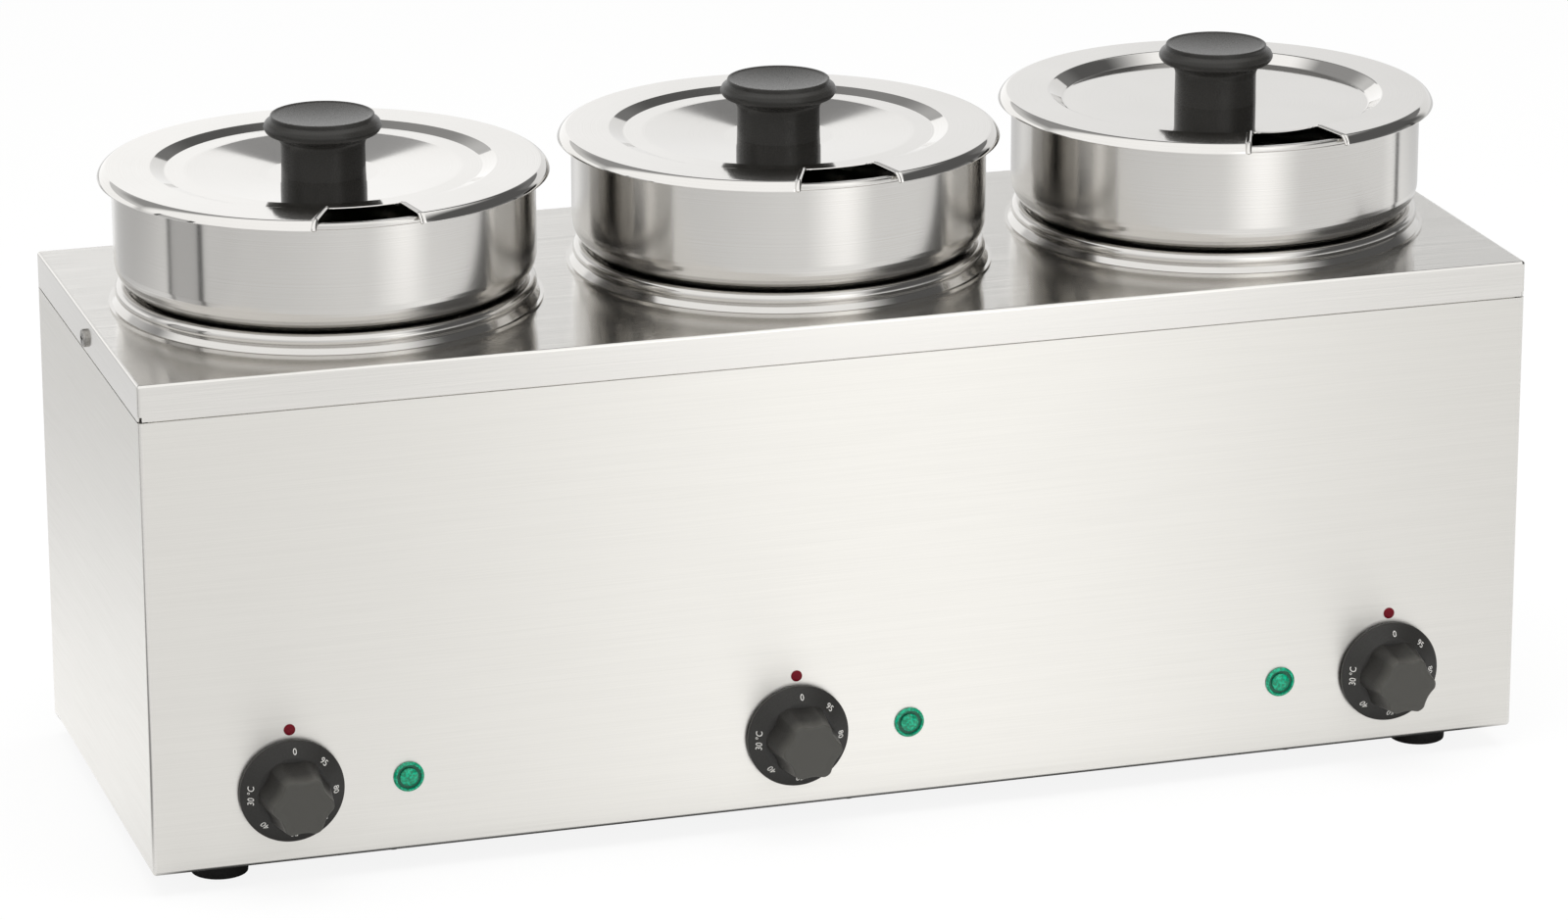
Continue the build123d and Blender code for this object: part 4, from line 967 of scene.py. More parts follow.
@dataclass
class Lid(Station):
    """The lid: a recessed floor, a flat band with a rolled edge, and a notch for a ladle. Sizes in mm."""

    radius: float = 117.2
    brow: float = 2.5  # radius where the band turns into the rolled edge
    brow_turn: float = 25.0  # degrees that it turns
    roll: float = 6.75  # radius of the rolled edge
    roll_turn: float = 75.0  # its slope at the lower end, in degrees
    roll_rows: int = 31
    band_from: float = 4.0  # from the crest out to where the band is level
    band_rows: int = 10
    crest: float = 89.7
    crest_round: float = 2.0
    floor: float = 82.5
    floor_from: float = 1.0  # from the end of the dish out to the level floor
    sheet: float = 0.8
    dish_from: float = 28.0
    dish_to: float = 72.0
    dish_rows: int = 24
    notch_reach: float = 88.0
    notch_inner: float = 20.0  # half width
    notch_right: float = 24.0  # half width at the rim
    notch_left: float = 34.0
    notch_soft: float = 0.012  # rounding of the notch's inner corners, as a turn in radians
    notch_close: float = 2.5  # from the crest out to where the notch's close rows end
    notch_rows: int = 22
    columns: int = 257
    hem_right: float = 0.9  # radius
    hem_left: float = 1.5
    hem_from: float = 2.0  # from the notch's reach out to where the hems start
    hem_steps: int = 12
    hem_taper: float = 2.0  # rows over which a hem narrows to its point

    def opening(self, r: np.ndarray, outer: float) -> np.ndarray:
        """Gives the angle that one half of the notch takes at each radius.

        The inner edge is the line at the notch's reach, so its angle is arccos(reach / r). Each side leans
        outwards, so its angle solves r sin a = inner + lean (r cos a - reach). The smaller of the two counts,
        and a soft minimum rounds the corner between them.

        Args:
            r: Distances from the lid's axis.
            outer: That half's width at the rim.

        Returns:
            Angles in radians, 0 inside the notch's reach.
        """
        lean = (outer - self.notch_inner) / (self.radius - self.notch_reach)
        edge = np.arccos(np.clip(self.notch_reach / np.maximum(r, TINY), -1.0, 1.0))
        offset = (self.notch_inner - lean * self.notch_reach) / np.hypot(1.0, lean)
        sides = np.arcsin(np.clip(offset / np.maximum(r, TINY), -1.0, 1.0)) + np.arctan(lean)
        soft = 0.5 * (edge + sides - np.sqrt((edge - sides) ** 2 + self.notch_soft**2))
        return np.where(r <= self.notch_reach, 0.0, np.clip(soft, 0.0, None))

    def hem(self, grid: np.ndarray) -> None:
        """Rolls a thin hem along both ends of the notch.

        Each hem is a tube along the skin's first or last column, c(i) = p(i) + radius (cos w n + sin w b),
        where b runs round the lid and n is square to it and to the column. The tube narrows to a point at its
        two ends.

        Args:
            grid: The outer rows of the top skin, in millimetres.
        """
        w = np.linspace(0.0, FULL_TURN, self.hem_steps, endpoint=False)[None, :, None]
        row = np.arange(len(grid))
        size = np.minimum(1.0, np.minimum(row, row[::-1]) / self.hem_taper)
        tubes = []
        for name, column, radius in (("right", 0, self.hem_right), ("left", -1, self.hem_left)):
            path = grid[:, column] - np.array([0.0, 0.0, 0.5 * self.sheet])
            along = np.gradient(path, axis=0)
            beside = grid[:, 1] - grid[:, 0] if column == 0 else grid[:, -1] - grid[:, -2]
            square = np.cross(along, beside)
            square, beside = (v / np.linalg.norm(v, axis=1)[:, None] for v in (square, beside))
            ring = np.cos(w) * square[:, None] + np.sin(w) * beside[:, None]
            tube = path[:, None] + radius * size[:, None, None] * ring
            tubes.append(surface(f"hem_{name}", tube))
        piece = merged(self.named("lid_hems"), tubes)
        dress(piece, LID_STEEL.material())
        seat(piece, self.named("lid") + "_body", "pot_steel")

    def profile(self) -> np.ndarray:
        """Draws the top skin from the axis out: a cone, the crest, a level band and the rolled edge.

        The cone rises from the knob's foot to the level floor. The edge is two arcs, a short one that starts
        level and a longer one that goes on from its slope.

        Returns:
            Points of radius and height, in millimetres.
        """
        plate = LID_FLOOR + LID_DISH[self.side]
        out = np.linspace(self.dish_from, self.dish_to, self.dish_rows)
        share = (out - self.dish_from) / (self.dish_to - self.dish_from)
        dish = np.stack([out, LID_FLOOR + LID_DISH[self.side] * share], -1)
        level = self.crest + self.band_from
        crest = rounded(
            [
                (self.dish_to + self.floor_from, plate, 0.0),
                (self.floor, plate, self.crest_round),
                (self.crest, LID_TOP, self.crest_round),
                (level, LID_TOP, 0.0),
            ]
        )
        bend = np.radians(np.linspace(0.0, self.roll_turn, self.roll_rows))
        first = np.minimum(bend, radians(self.brow_turn))
        reach = self.brow * np.sin(first) + self.roll * (np.sin(bend) - np.sin(first))
        fall = self.brow * (1 - np.cos(first)) + self.roll * (np.cos(first) - np.cos(bend))
        edge = self.radius - reach[-1]
        flat = np.linspace(level, edge, self.band_rows + 2)[1:-1]
        band = np.stack([flat, np.full(self.band_rows, LID_TOP)], -1)
        roll = np.stack([edge + reach, LID_TOP - fall], -1)
        return np.concatenate([[[0.0, LID_FLOOR]], dish, crest, band, roll])

    def build(self) -> None:
        """Makes the top skin and gives it the sheet's thickness.

        A column u of the grid stands at the angle -90 + turn + a(r) + u (360 - a(r) - b(r)), where a and b
        are the notch's right and left halves, so the columns close up round the notch.
        """
        r, z = self.profile().T
        near = np.linspace(self.notch_reach, self.crest + self.notch_close, self.notch_rows)
        rows = np.unique(np.concatenate([r, near]))
        height = np.interp(rows, r, z)
        right, left = (self.opening(rows, outer)[:, None] for outer in (self.notch_right, self.notch_left))
        u = np.linspace(0.0, 1.0, self.columns)[None]
        angle = radians(-90.0 + LID_TURN[self.side]) + right + u * (FULL_TURN - right - left)
        radius, level = (np.broadcast_to(v[:, None], angle.shape) for v in (rows, height))
        grid = self.upright().carry(radius, angle, level)
        self.hem(grid[rows >= self.notch_reach + self.hem_from])
        piece = surface(self.named("lid_sheet"), grid[::-1], turn=False)
        wall = piece.modifiers.new("sheet", "SOLIDIFY")
        wall.thickness = self.sheet * MM
        wall.offset = -1.0
        wall.use_even_offset = True
        dress(piece, LID_STEEL.material())
        seat(piece, self.named("lid") + "_body", "pot_steel", self.named("lid"))


@dataclass
class LidKnob(Station):
    """The mushroom knob on the lid: a flared foot, a neck, a rounded cap and a disc on top. Sizes in mm."""

    base: float = 22.0
    neck: float = 21.8
    neck_flare: float = 0.1  # how much wider the neck is at its lower end
    neck_from: float = 5.0
    neck_to: float = 18.6
    neck_round: float = 6.0
    cap: float = 30.75
    cap_height: float = 25.0
    cap_half: float = 2.6
    cap_round: float = 2.2
    cap_bulge: float = 0.25  # how far the cap's corner stands out, before its rounding
    cap_under: float = 1.4  # how far the cap's lower corner stands in
    cap_over: float = 1.0  # how far its upper corner stands in
    top: float = 27.2
    top_draft: float = 0.2
    step: float = 29.2
    step_round: float = 0.3
    crown: float = 31.5
    bead_outside: float = 0.6  # roundings of the bead round the top
    bead_inside: float = 0.5
    bead_fall: float = 0.1
    bead_width: float = 0.6
    dish: float = 1.2  # how far the top is hollowed
    dish_radius: float = 26.0
    dish_edge: float = 0.25  # from the crown down to the hollow's edge
    dish_gap: float = 0.2
    dish_rows: int = 16
    columns: int = 128

    def build(self) -> None:
        """Makes the knob from one profile; its top is hollowed with the square of the radius."""
        low, high = self.cap_height - self.cap_half, self.cap_height + self.cap_half
        hollow_top, hollow_edge = self.crown - self.dish_edge, self.dish_radius - self.bead_width
        profile = rounded(
            [
                (0.0, 0.0, 0.0),
                (self.base, 0.0, 0.0),
                (self.neck + self.neck_flare, self.neck_from, self.neck_round),
                (self.neck, self.neck_to, self.neck_round),
                (self.cap - self.cap_under, low, self.cap_round),
                (self.cap + self.cap_bulge, self.cap_height, self.cap_round),
                (self.cap - self.cap_over, high, self.cap_round),
                (self.top, self.step, self.step_round),
                (self.top - self.top_draft, self.crown, self.bead_outside),
                (self.dish_radius, self.crown - self.bead_fall, self.bead_inside),
                (hollow_edge, hollow_top, 0.0),
            ]
        )
        inwards = np.linspace(hollow_edge - self.dish_gap, 0.0, self.dish_rows)
        fall = self.dish * (1.0 - (inwards / self.dish_radius) ** 2)
        hollow = np.stack([inwards, hollow_top - fall], -1)
        grid = turned_grid(np.concatenate([profile, hollow]), self.upright(LID_FLOOR), self.columns)
        piece = surface(self.named("lid_knob_cap"), grid)
        dress(piece, BLACK_PLASTIC.material())
        seat(piece, self.named("lid") + "_body", "black_plastic", self.named("lid_knob"))


@dataclass
class Dial(Station):
    """The thermostat knob: a skirt with a printed scale and a tapered grip with six flutes. Sizes in mm.

    Distances along the axis count from the back of the skirt towards the cook.
    """

    gap: float = 0.8  # between the panel and the skirt's back
    skirt: float = 27.5
    skirt_back: float = 0.5  # roundings of the skirt's two edges
    skirt_front: float = 0.6
    edge: float = 2.5
    rise: float = 7.0
    grip_base: float = 19.0
    grip_front: float = 16.0
    grip_rows: int = 14
    foot_out: float = 0.4  # from the grip's foot out to the end of the skirt's cone
    foot_back: float = 0.2  # and back
    front: float = 29.0
    nose: float = 1.0  # how far the grip's front edge is rounded back
    nose_in: float = 1.2  # and in
    nose_rows: int = 7
    face_in: float = 1.7  # from the grip's edge in to the recessed front
    face_depth: float = 0.35
    face_rows: int = 9
    cavity: float = 24.5
    cavity_depth: float = 3.6
    cavity_round: float = 0.6
    cavity_edge: float = 0.3
    flutes: int = 6
    flute_radius: float = 15.0
    flute_depth: float = 2.3
    flute_clear: float = 5.0  # how far outside the grip a flute counts where it doesn't reach
    flute_least: float = 0.001  # least distance from the axis to a flute's near side
    ridge_soft: float = 0.9  # rounding of the ridges, in square mm
    scale_radius: float = 22.2
    figure_height: float = 3.3
    font_share: float = 1.35  # font size over the height of its figures
    font_steps: int = 3
    print_depth: float = 0.05
    print_lift: float = 0.02  # of the print's middle above the cone
    print_sharp: float = 20.0  # degrees
    turn_steps: int = 5
    columns: int = 240

    def axis(self) -> Axis:
        """Returns the knob's axis."""
        return out_of_panel(DIAL_X[self.side], CONTROL_Z, self.gap)

    def fluted(self, radius: np.ndarray, angle: np.ndarray) -> np.ndarray:
        """Scoops the flutes out of the grip.

        A flute is a circle of radius F whose centre stands at d = R + F - depth from the axis. At the angle a
        from the flute's middle its near side lies at d cos a - sqrt(F^2 - d^2 sin^2 a). A soft minimum of
        that and R rounds the ridges.

        Args:
            radius: Plain radius R of each point of the grip.
            angle: Its angle in radians.

        Returns:
            The radius with the flutes cut.
        """
        pitch = FULL_TURN / self.flutes
        turn = (angle + pitch / 2) % pitch - pitch / 2
        big = self.flute_radius
        d = np.maximum(radius + big - self.flute_depth, big + self.flute_least)
        aside = d * np.sin(turn)
        near = d * np.cos(turn) - np.sqrt(np.maximum(big**2 - aside**2, 0.0))
        scoop = np.where(np.abs(aside) < big, near, radius + self.flute_clear)
        soft = 0.5 * (radius + scoop - np.sqrt((radius - scoop) ** 2 + self.ridge_soft))
        return np.clip(soft, 0.0, None)

    def build(self) -> None:
        """Makes the knob as one grid, skirt and grip, and prints its scale.

        The recessed front keeps the outline of its own edge, made smaller towards the axis.
        """
        shoulder = self.front - self.nose
        taper = np.linspace(self.grip_base, self.grip_front, self.grip_rows)
        grip = np.stack([taper, np.linspace(self.rise, shoulder, self.grip_rows)], -1)
        bend = np.linspace(0.0, np.pi / 2, self.nose_rows)[1:]
        inwards = self.grip_front - self.nose_in + self.nose_in * np.cos(bend)
        nose = np.stack([inwards, shoulder + self.nose * np.sin(bend)], -1)
        across = np.linspace(self.grip_front - self.face_in, 0.0, self.face_rows)
        face = np.stack([across, np.full(self.face_rows, self.front)], -1)
        face[1:, 1] -= self.face_depth
        skirt = rounded(
            [
                (0.0, self.cavity_depth, 0.0),
                (self.cavity, self.cavity_depth, self.cavity_round),
                (self.cavity, 0.0, self.cavity_edge),
                (self.skirt, 0.0, self.skirt_back),
                (self.skirt, self.edge, self.skirt_front),
                (self.grip_base + self.foot_out, self.rise - self.foot_back, 0.0),
            ],
            self.turn_steps,
        )
        profile = np.concatenate([skirt, grip, nose, face])
        angle = np.linspace(0.0, FULL_TURN, self.columns, endpoint=False)
        turn = np.broadcast_to(angle, (len(profile), self.columns))
        radius, height = (np.broadcast_to(v[:, None], turn.shape) for v in profile.T)
        foot, inner = len(skirt), len(profile) - len(face)
        cut = self.fluted(radius[foot : inner + 1], turn[foot : inner + 1])
        shrink = profile[inner:, :1] / profile[inner, 0]
        shaped = np.concatenate([radius[:foot], cut[:-1], cut[-1:] * shrink])
        piece = surface(self.named("thermostat_dial"), self.axis().carry(shaped, turn, height))
        dress(piece, DIAL_PLASTIC.material())
        seat(piece, self.named("dial") + "_body", "dial_plastic", self.named("thermostat_knob"))
        self.mark()

    def figure(self, words: str) -> tuple[np.ndarray, list[list[int]]]:
        """Sets one figure of the scale flat, about its own middle.

        Args:
            words: The figure.

        Returns:
            Its points in millimetres, and the points of each face.
        """
        curve = bpy.data.curves.new("figure", "FONT")
        curve.body = words
        curve.align_x = "CENTER"
        curve.align_y = "CENTER"
        curve.size = self.figure_height * self.font_share
        curve.extrude = self.print_depth
        curve.resolution_u = self.font_steps
        holder = bpy.data.objects.new("figure", curve)
        bpy.context.scene.collection.objects.link(holder)
        bpy.context.view_layer.update()
        shown = holder.evaluated_get(bpy.context.evaluated_depsgraph_get())
        flat = bpy.data.meshes.new_from_object(shown)
        points = np.empty(len(flat.vertices) * 3, np.float32)
        flat.vertices.foreach_get("co", points)
        faces = [list(polygon.vertices) for polygon in flat.polygons]
        bpy.data.objects.remove(holder)
        bpy.data.meshes.remove(flat)
        bpy.data.curves.remove(curve)
        return points.reshape(-1, 3).astype(float), faces

    def mark(self) -> None:
        """Prints the figures of the scale on the skirt's cone, tops outwards, and makes them one mesh."""
        points: list[np.ndarray] = []
        faces: list[list[int]] = []
        total = 0
        slope = (self.rise - self.edge) / (self.skirt - self.grip_base)
        for degrees, words in DIAL_SCALE.items():
            local, outlines = self.figure(words)
            across, up, lift = local.T
            radial = self.scale_radius + up
            spread = np.hypot(radial, across)
            turn = -radians(degrees) - np.arctan2(across, radial)
            cone = self.edge + (self.skirt - spread) * slope
            points.append(self.axis().carry(spread, turn, cone + self.print_lift + lift))
            faces += [[v + total for v in outline] for outline in outlines]
            total += len(local)
        name = self.named("dial_figures")
        mesh = bpy.data.meshes.new(name)
        mesh.from_pydata((np.concatenate(points) * MM).tolist(), [], faces)
        mesh.update()
        piece = finished(name, mesh, self.print_sharp)
        dress(piece, DIAL_INK.material())
        seat(piece, self.named("dial") + "_body", "white_plastic")


@dataclass
class PilotLamp(Station):
    """The pilot lamp's lens: a bevelled ring, a groove and a dome. Sizes in mm, out from the panel."""

    ring: float = 8.1
    ring_back: float = 0.2  # rounding of the ring's rear edge
    proud: float = 1.8
    bevel: float = 0.9
    bevel_round: float = 0.3
    groove: float = 6.4
    groove_draft: float = 0.2
    groove_edge: float = 0.15  # roundings of the groove's edge and foot
    groove_foot: float = 0.1
    groove_depth: float = 1.5
    dome: float = 4.75
    dome_low: float = 0.4  # how far the dome's foot lies below the ring's front
    dome_rows: int = 14
    rise: float = 1.5
    stem: float = 4.9
    shank: float = -1.0
    bend_steps: int = 4
    columns: int = 72

    def build(self) -> None:
        """Makes the lens from one profile, shank to dome."""
        ball = (self.dome**2 + self.rise**2) / (2 * self.rise)
        bend = np.linspace(np.arcsin(self.dome / ball), 0.0, self.dome_rows)
        top = self.proud + self.rise - self.dome_low
        dome = np.stack([ball * np.sin(bend), top - ball * (1 - np.cos(bend))], -1)
        foot = self.proud - self.groove_depth
        front = rounded(
            [
                (0.0, self.shank, 0.0),
                (self.stem, self.shank, 0.0),
                (self.stem, 0.0, 0.0),
                (self.ring, 0.0, self.ring_back),
                (self.ring, self.proud - self.bevel, self.bevel_round),
                (self.ring - self.bevel, self.proud, self.bevel_round),
                (self.groove + self.groove_draft, self.proud, self.groove_edge),
                (self.groove, foot, self.groove_foot),
                (self.dome, foot, 0.0),
            ],
            self.bend_steps,
        )
        axis = out_of_panel(LAMP_X[self.side], CONTROL_Z)
        grid = turned_grid(np.concatenate([front, dome]), axis, self.columns)
        piece = surface(self.named("pilot_lens"), grid)
        dress(piece, LAMP_GREEN.material())
        seat(piece, HOUSING, "lamp_green", self.named("lamp_lens"))


@dataclass
class IndexStuds:
    """The three red studs that the dials are read against. Sizes in mm, from the panel towards the cook."""

    height: float = 84.3
    radius: float = 3.0
    proud: float = 1.0
    side_share: float = 0.55  # part of the head's height that its side takes
    side_round: float = 0.4
    crown_share: float = 0.55  # part of the radius where the crown bends
    crown_height: float = 0.96  # part of the head's height there
    crown_round: float = 2.0
    shank: float = 1.5
    shank_round: float = 0.2
    length: float = 4.0
    bend_steps: int = 6
    columns: int = 48

    def build(self) -> None:
        """Makes the three studs, each from the same profile, as one mesh."""
        profile = rounded(
            [
                (0.0, -self.length, 0.0),
                (self.shank, -self.length, self.shank_round),
                (self.shank, 0.0, 0.0),
                (self.radius, 0.0, 0.0),
                (self.radius, self.proud * self.side_share, self.side_round),
                (self.radius * self.crown_share, self.proud * self.crown_height, self.crown_round),
                (0.0, self.proud, 0.0),
            ],
            self.bend_steps,
        )
        grids = [turned_grid(profile, out_of_panel(x, self.height), self.columns) for x in DIAL_X.values()]
        piece = merged("index_stud_heads", [surface(f"stud_{k}", grid) for k, grid in enumerate(grids)])
        dress(piece, STUD_RED.material())
        seat(piece, HOUSING, "stud_red", "index_studs")


@dataclass(frozen=True)
class Softbox:
    """A soft white lamp: its place and what it faces in metres, its size in metres, and its power in watts.

    It lights the matt surfaces. The metal mirrors the room and the cards instead.
    """

    name: str
    place: tuple[float, float, float]
    faces: tuple[float, float, float]
    size: tuple[float, float]
    power: float

    def light(self) -> None:
        """Hangs the lamp, turned to what it faces."""
        lamp = bpy.data.lights.new(self.name, "AREA")
        lamp.shape = "RECTANGLE"
        lamp.size, lamp.size_y = self.size
        lamp.energy = self.power
        holder = bpy.data.objects.new(self.name, lamp)
        turn = (Vector(self.faces) - Vector(self.place)).to_track_quat("-Z", "Y")
        holder.matrix_world = Matrix.Translation(self.place) @ turn.to_matrix().to_4x4()
        holder.visible_camera = False
        holder.visible_glossy = False
        bpy.context.scene.collection.objects.link(holder)


@dataclass(frozen=True)
class Card:
    """A card that shows only in the metal, upright: its foot's middle, its width and height, and its grey.

    A soft card lets what lies behind it show, and adds its own light to it, most along its middle.
    """

    name: str
    foot: tuple[float, float]  # metres
    across: tuple[float, float]  # half its width, as a step on the floor in metres
    height: float  # metres
    grey: float
    soft: bool = False

    def soften(self, tree: Tree, light: Node) -> Node:
        """Fades a card's light to both sides and lets what lies behind it show.

        The share across the card is (p - foot) . across / |across|^2, which is 1 at its edges.

        Args:
            tree: The card's nodes.
            light: Its light.

        Returns:
            The node to show.
        """
        (x, y), (dx, dy) = self.foot, self.across
        width = dx**2 + dy**2
        place = add_node(tree, "ShaderNodeTexCoord").outputs["Object"]
        aside = add_node(tree, "ShaderNodeVectorMath", {"operation": "SUBTRACT"}, {0: place, 1: (x, y, 0.0)})
        step = {0: aside, 1: (dx / width, dy / width, 0.0)}
        share = add_node(tree, "ShaderNodeVectorMath", {"operation": "DOT_PRODUCT"}, step)
        size = add_node(tree, "ShaderNodeMath", {"operation": "ABSOLUTE"}, {0: share.outputs["Value"]})
        limits = {"Value": size, "To Min": self.grey, "To Max": 0.0}
        fade = add_node(tree, "ShaderNodeMapRange", SOFT_STEP, limits)
        tree.links.new(fade.outputs[0], light.inputs["Strength"])
        behind = add_node(tree, "ShaderNodeBsdfTransparent")
        return add_node(tree, "ShaderNodeAddShader", inputs={0: light, 1: behind})

    def stand(self) -> None:
        """Stands the card on the floor."""
        u, w = np.meshgrid(np.linspace(-1.0, 1.0, 3), np.linspace(0.0, 1.0, 3), indexing="ij")
        (x, y), (dx, dy) = self.foot, self.across
        card = surface(self.name, np.stack([x + u * dx, y + u * dy, w * self.height], -1) / MM, turn=False)
        material = bpy.data.materials.new(self.name)
        tree = empty_tree(material)
        light = add_node(tree, "ShaderNodeEmission", inputs={"Color": WHITE, "Strength": self.grey})
        shown = self.soften(tree, light) if self.soft else light
        add_node(tree, "ShaderNodeOutputMaterial", inputs={"Surface": shown})
        dress(card, material)
        card.visible_camera = False
        card.visible_shadow = False
        card.visible_diffuse = False


@dataclass
class Studio:
    """A pale floor in a white room, soft lamps, and the camera."""

    floor_size: float = 24.0  # metres
    floor_colour: str = "#FAFAF9"
    floor_glow: float = 0.88  # share of the floor's white that the lamps don't make
    pool: float = 0.3  # how much brighter the metal shows the floor in front
    pool_width: float = 0.255  # metres
    pool_lean: float = 0.311  # how far the pool leans to the right, per metre towards the cook
    room_light: float = 0.6  # the room's strength on matt surfaces
    room_front: float = 1.3  # its strength in the metal, overhead and towards the cook
    room_sides: float = 0.12  # to the right, and behind above the backdrop
    room_low: float = 0.4  # and just above the floor
    gap_left: float = 0.75  # and just above the backdrop
    gap_right: float = 0.22
    backdrop_left: float = 1.26
    backdrop_right: float = 0.94
    camera_place: tuple[float, float, float] = (-0.977593, -3.155400, 1.213115)
    camera_right: tuple[float, float, float] = (0.95480991, -0.29721239, -0.00168437)
    camera_down: tuple[float, float, float] = (-0.09180118, -0.28951645, -0.95276061)
    camera_ahead: tuple[float, float, float] = (0.2826846, 0.90985989, -0.30371762)
    camera_clip: tuple[float, float] = (0.05, 100.0)  # metres
    lens: float = 147.954  # mm
    sensor: float = 36.0  # mm

    lamps: tuple[Softbox, ...] = (
        Softbox("overhead", (0.0, -0.2, 2.4), (0.0, 0.0, 0.2), (3.0, 2.2), 52.0),
        Softbox("front_right", (0.355, -1.05, 0.52), (0.355, 0.0, 0.52), (0.61, 1.0), 1.2),
    )
    cards: tuple[Card, ...] = (
        Card("card_left_rear", (-0.93, 0.118), (0.0, 0.015), 0.6, 0.05),
        Card("card_left", (-0.93, -0.005), (0.0, 0.108), 0.6, 0.6),
        Card("card_left_front", (-0.93, -0.132), (0.0, 0.019), 0.6, 0.05),
        Card("card_right", (0.93, 0.08), (0.0, 0.025), 0.6, 0.1),
        Card("card_front", (0.34, -1.05), (0.45, 0.0), 1.0, 0.7, soft=True),
    )

    def seen(self, tree: Tree) -> Node:
        """Gives 1 to rays from the camera, from gloss and through clear pieces.

        Args:
            tree: A material's or the world's nodes.

        Returns:
            The node.
        """
        path = add_node(tree, "ShaderNodeLightPath").outputs
        most = {"operation": "MAXIMUM"}
        both = add_node(tree, "ShaderNodeMath", most, {0: path["Is Camera Ray"], 1: path["Is Glossy Ray"]})
        return add_node(tree, "ShaderNodeMath", most, {0: both, 1: path["Is Transmission Ray"]})

    def lit_floor(self, tree: Tree) -> Socket:
        """Gives the floor's level in the metal, with painted light: a pool of light in front, less to the
        left and the rear.

        The pool is exp(-(u / width)^2) across u = x + lean y, so it runs out from the panel's middle to the
        right, and it fades 0.5 to 1 metre from the housing. The floor has a painted shadow under the housing
        and painted shade to its left.

        Args:
            tree: The floor's nodes.

        Returns:
            The socket.
        """
        place = add_node(tree, "ShaderNodeTexCoord").outputs["Object"]
        x, y, _ = add_node(tree, "ShaderNodeSeparateXYZ", inputs={0: place}).outputs
        size = add_node(tree, "ShaderNodeVectorMath", {"operation": "ABSOLUTE"}, {0: place})
        wide, deep, _ = add_node(tree, "ShaderNodeSeparateXYZ", inputs={0: size}).outputs
        steps = {
            "ahead": (y, -1.0, -0.5, 0.0, self.pool),
            "beside": (y, -0.15, 0.1, 1.0, 1.15),
            "behind": (y, 0.15, 0.9, 1.0, 0.64),
            "left": (x, -1.3, -0.2, 0.86, 1.0),
            # painted shadow under the housing
            "along": (wide, 0.35, 0.385, 1.0, 0.0),
            "under": (deep, 0.13, 0.16, 0.95, 0.0),
            # painted shade to the housing's left
            "aside": (x, -0.52, -0.4, 0.7, 0.0),
            "inside": (x, -1.1, -0.85, 0.0, 1.0),
            "before": (y, -0.14, -0.02, 1.0, 0.0),
            "beyond": (y, -0.42, -0.26, 0.0, 1.0),
        }
        sums = (
            # painted pool of light in front
            ("lean", "MULTIPLY", "y", self.pool_lean),
            ("across", "ADD", "x", "lean"),
            ("share", "DIVIDE", "across", self.pool_width),
            ("square", "MULTIPLY", "share", "share"),
            ("fall", "MULTIPLY", "square", -1.0),
            ("bell", "EXPONENT", "fall"),
            ("pool", "MULTIPLY", "bell", "ahead"),
            ("even", "MULTIPLY", "beside", "behind"),
            ("both", "ADD", "pool", "even"),
            ("open", "MULTIPLY", "both", "left"),
            ("housing_shadow", "MULTIPLY", "along", "under"),
            ("strip", "MULTIPLY", "aside", "inside"),
            ("patch", "MULTIPLY", "before", "beyond"),
            ("left_shade", "MULTIPLY", "strip", "patch"),
            ("shade", "MAXIMUM", "housing_shadow", "left_shade"),
            ("rest", "SUBTRACT", 1.0, "shade"),
            ("level", "MULTIPLY", "open", "rest"),
        )
        known = {"x": x, "y": y}
        work_out(tree, known, steps, sums)
        return known["level"]

    def build_floor(self) -> None:
        """Lays the floor: matt, with most of its white made even, so that the object's shadow stays soft."""
        half = self.floor_size / 2 / MM
        span = np.linspace(-half, half, 9)
        x, y = np.meshgrid(span, span, indexing="xy")
        floor = surface("floor", np.stack([x, y, np.zeros_like(x)], -1), turn=False)
        material = bpy.data.materials.new("studio_floor")
        tree = empty_tree(material)
        matt = add_node(tree, "ShaderNodeBsdfDiffuse", inputs={"Color": srgb(self.floor_colour)})
        gloss = add_node(tree, "ShaderNodeLightPath").outputs["Is Glossy Ray"]
        low, high, _ = MIX_VALUES
        level = add_node(tree, "ShaderNodeMix", inputs={0: gloss, low: 1.0, high: self.lit_floor(tree)})
        glow = add_node(tree, "ShaderNodeEmission", inputs={"Color": WHITE, "Strength": level})
        shares = {0: self.seen(tree), 1: self.floor_glow}
        share = add_node(tree, "ShaderNodeMath", {"operation": "MULTIPLY"}, shares)
        even = add_node(tree, "ShaderNodeMath", {"operation": "MAXIMUM"}, {0: share, 1: gloss})
        mixed = add_node(tree, "ShaderNodeMixShader", inputs={0: even, 1: matt, 2: glow})
        add_node(tree, "ShaderNodeOutputMaterial", inputs={"Surface": mixed})
        dress(floor, material)

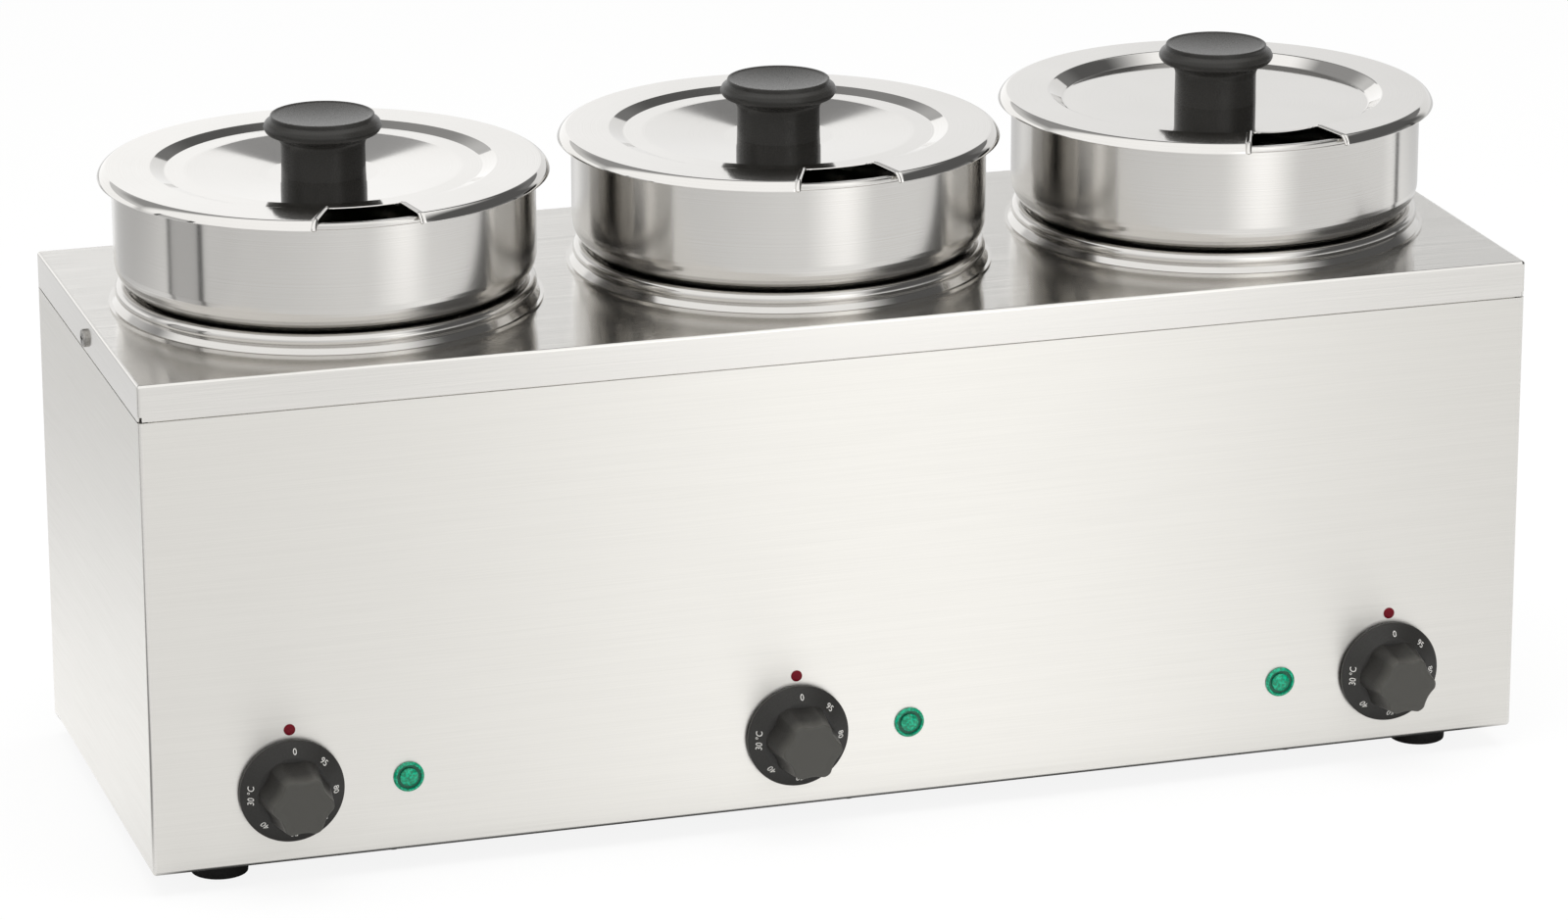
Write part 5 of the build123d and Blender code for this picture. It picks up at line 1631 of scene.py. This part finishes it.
    def build_room(self) -> None:
        """Makes the room white to the camera and even on matt surfaces.

        In the metal it has a white backdrop behind, is bright overhead, in front and to the left, and is dim
        between them and to the right. Each part is a soft step of the direction's x, y or z, and the
        brightest part counts.
        """
        world = bpy.data.worlds.new("white_room")
        bpy.context.scene.world = world
        tree = empty_tree(world)
        towards = add_node(tree, "ShaderNodeTexCoord").outputs["Generated"]
        x, y, z = add_node(tree, "ShaderNodeSeparateXYZ", inputs={0: towards}).outputs
        steps = {
            "ahead": (y, 0.38, 0.66, self.room_front, 0.0),
            "left": (x, 0.34, 0.66, 1.0, 0.0),
            "high": (z, 0.1, 0.4, 0.75, 1.0),
            "low": (z, 0.0, 0.3, self.room_low, self.room_sides),
            "behind": (y, 0.3, 0.5, 0.0, 1.0),
            "gap": (x, -0.1, 0.36, self.gap_left, self.gap_right),
            "upper": (z, 0.4, 0.58, 1.0, 0.5),
            "far": (y, 0.4, 0.6, 0.0, 1.0),
            "below": (z, 0.332, 0.344, 1.0, 0.0),
            "sheet": (x, 0.14, 0.42, self.backdrop_left, self.backdrop_right),
        }
        sums = (
            ("open", "MULTIPLY", "ahead", "left"),
            ("bright", "MULTIPLY", "open", "high"),
            ("space", "MULTIPLY", "gap", "upper"),
            ("rear", "MULTIPLY", "behind", "space"),
            ("hung", "MULTIPLY", "far", "below"),
            ("backdrop", "MULTIPLY", "hung", "sheet"),
            ("walls", "MAXIMUM", "low", "rear"),
            ("sides", "MAXIMUM", "walls", "bright"),
            ("metal", "MAXIMUM", "sides", "backdrop"),
            ("lit", "MAXIMUM", "metal", "seen"),
        )
        known = {"seen": add_node(tree, "ShaderNodeLightPath").outputs["Is Camera Ray"]}
        work_out(tree, known, steps, sums)
        low, high, _ = MIX_VALUES
        levels = {0: self.seen(tree), low: self.room_light, high: known["lit"]}
        strength = add_node(tree, "ShaderNodeMix", inputs=levels)
        white = add_node(tree, "ShaderNodeBackground", inputs={"Color": WHITE, "Strength": strength})
        add_node(tree, "ShaderNodeOutputWorld", inputs={"Surface": white})

    def build_camera(self) -> None:
        """Stands the camera at the photograph's place."""
        camera = bpy.data.cameras.new("camera")
        camera.sensor_fit = "HORIZONTAL"
        camera.sensor_width = self.sensor
        camera.lens = self.lens
        camera.clip_start, camera.clip_end = self.camera_clip
        holder = bpy.data.objects.new("camera", camera)
        turn = np.stack([self.camera_right, -np.array(self.camera_down), -np.array(self.camera_ahead)], 1)
        holder.matrix_world = Matrix.Translation(self.camera_place) @ Matrix(turn.tolist()).to_4x4()
        bpy.context.scene.collection.objects.link(holder)
        bpy.context.scene.camera = holder

    def build(self) -> None:
        """Sets up the floor, the room, the lamps, the camera and the view."""
        self.build_floor()
        self.build_room()
        for lamp in self.lamps:
            lamp.light()
        for card in self.cards:
            card.stand()
        self.build_camera()
        bpy.context.scene.view_settings.view_transform = "Standard"


def main() -> None:
    """Builds every sub-assembly and the studio."""
    logging.basicConfig(level=logging.INFO, format="%(name)s: %(message)s")
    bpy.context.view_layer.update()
    Housing().dress(frame["nodes"])
    Casing().build(frame["nodes"]["casing"])
    for side in Side:
        Station(side).dress(frame["nodes"])
        for maker in (Well, Pot, Lid, LidKnob, Dial, PilotLamp):
            maker(side).build()
    IndexStuds().build()
    Studio().build()


if __name__ == "__main__":
    main()
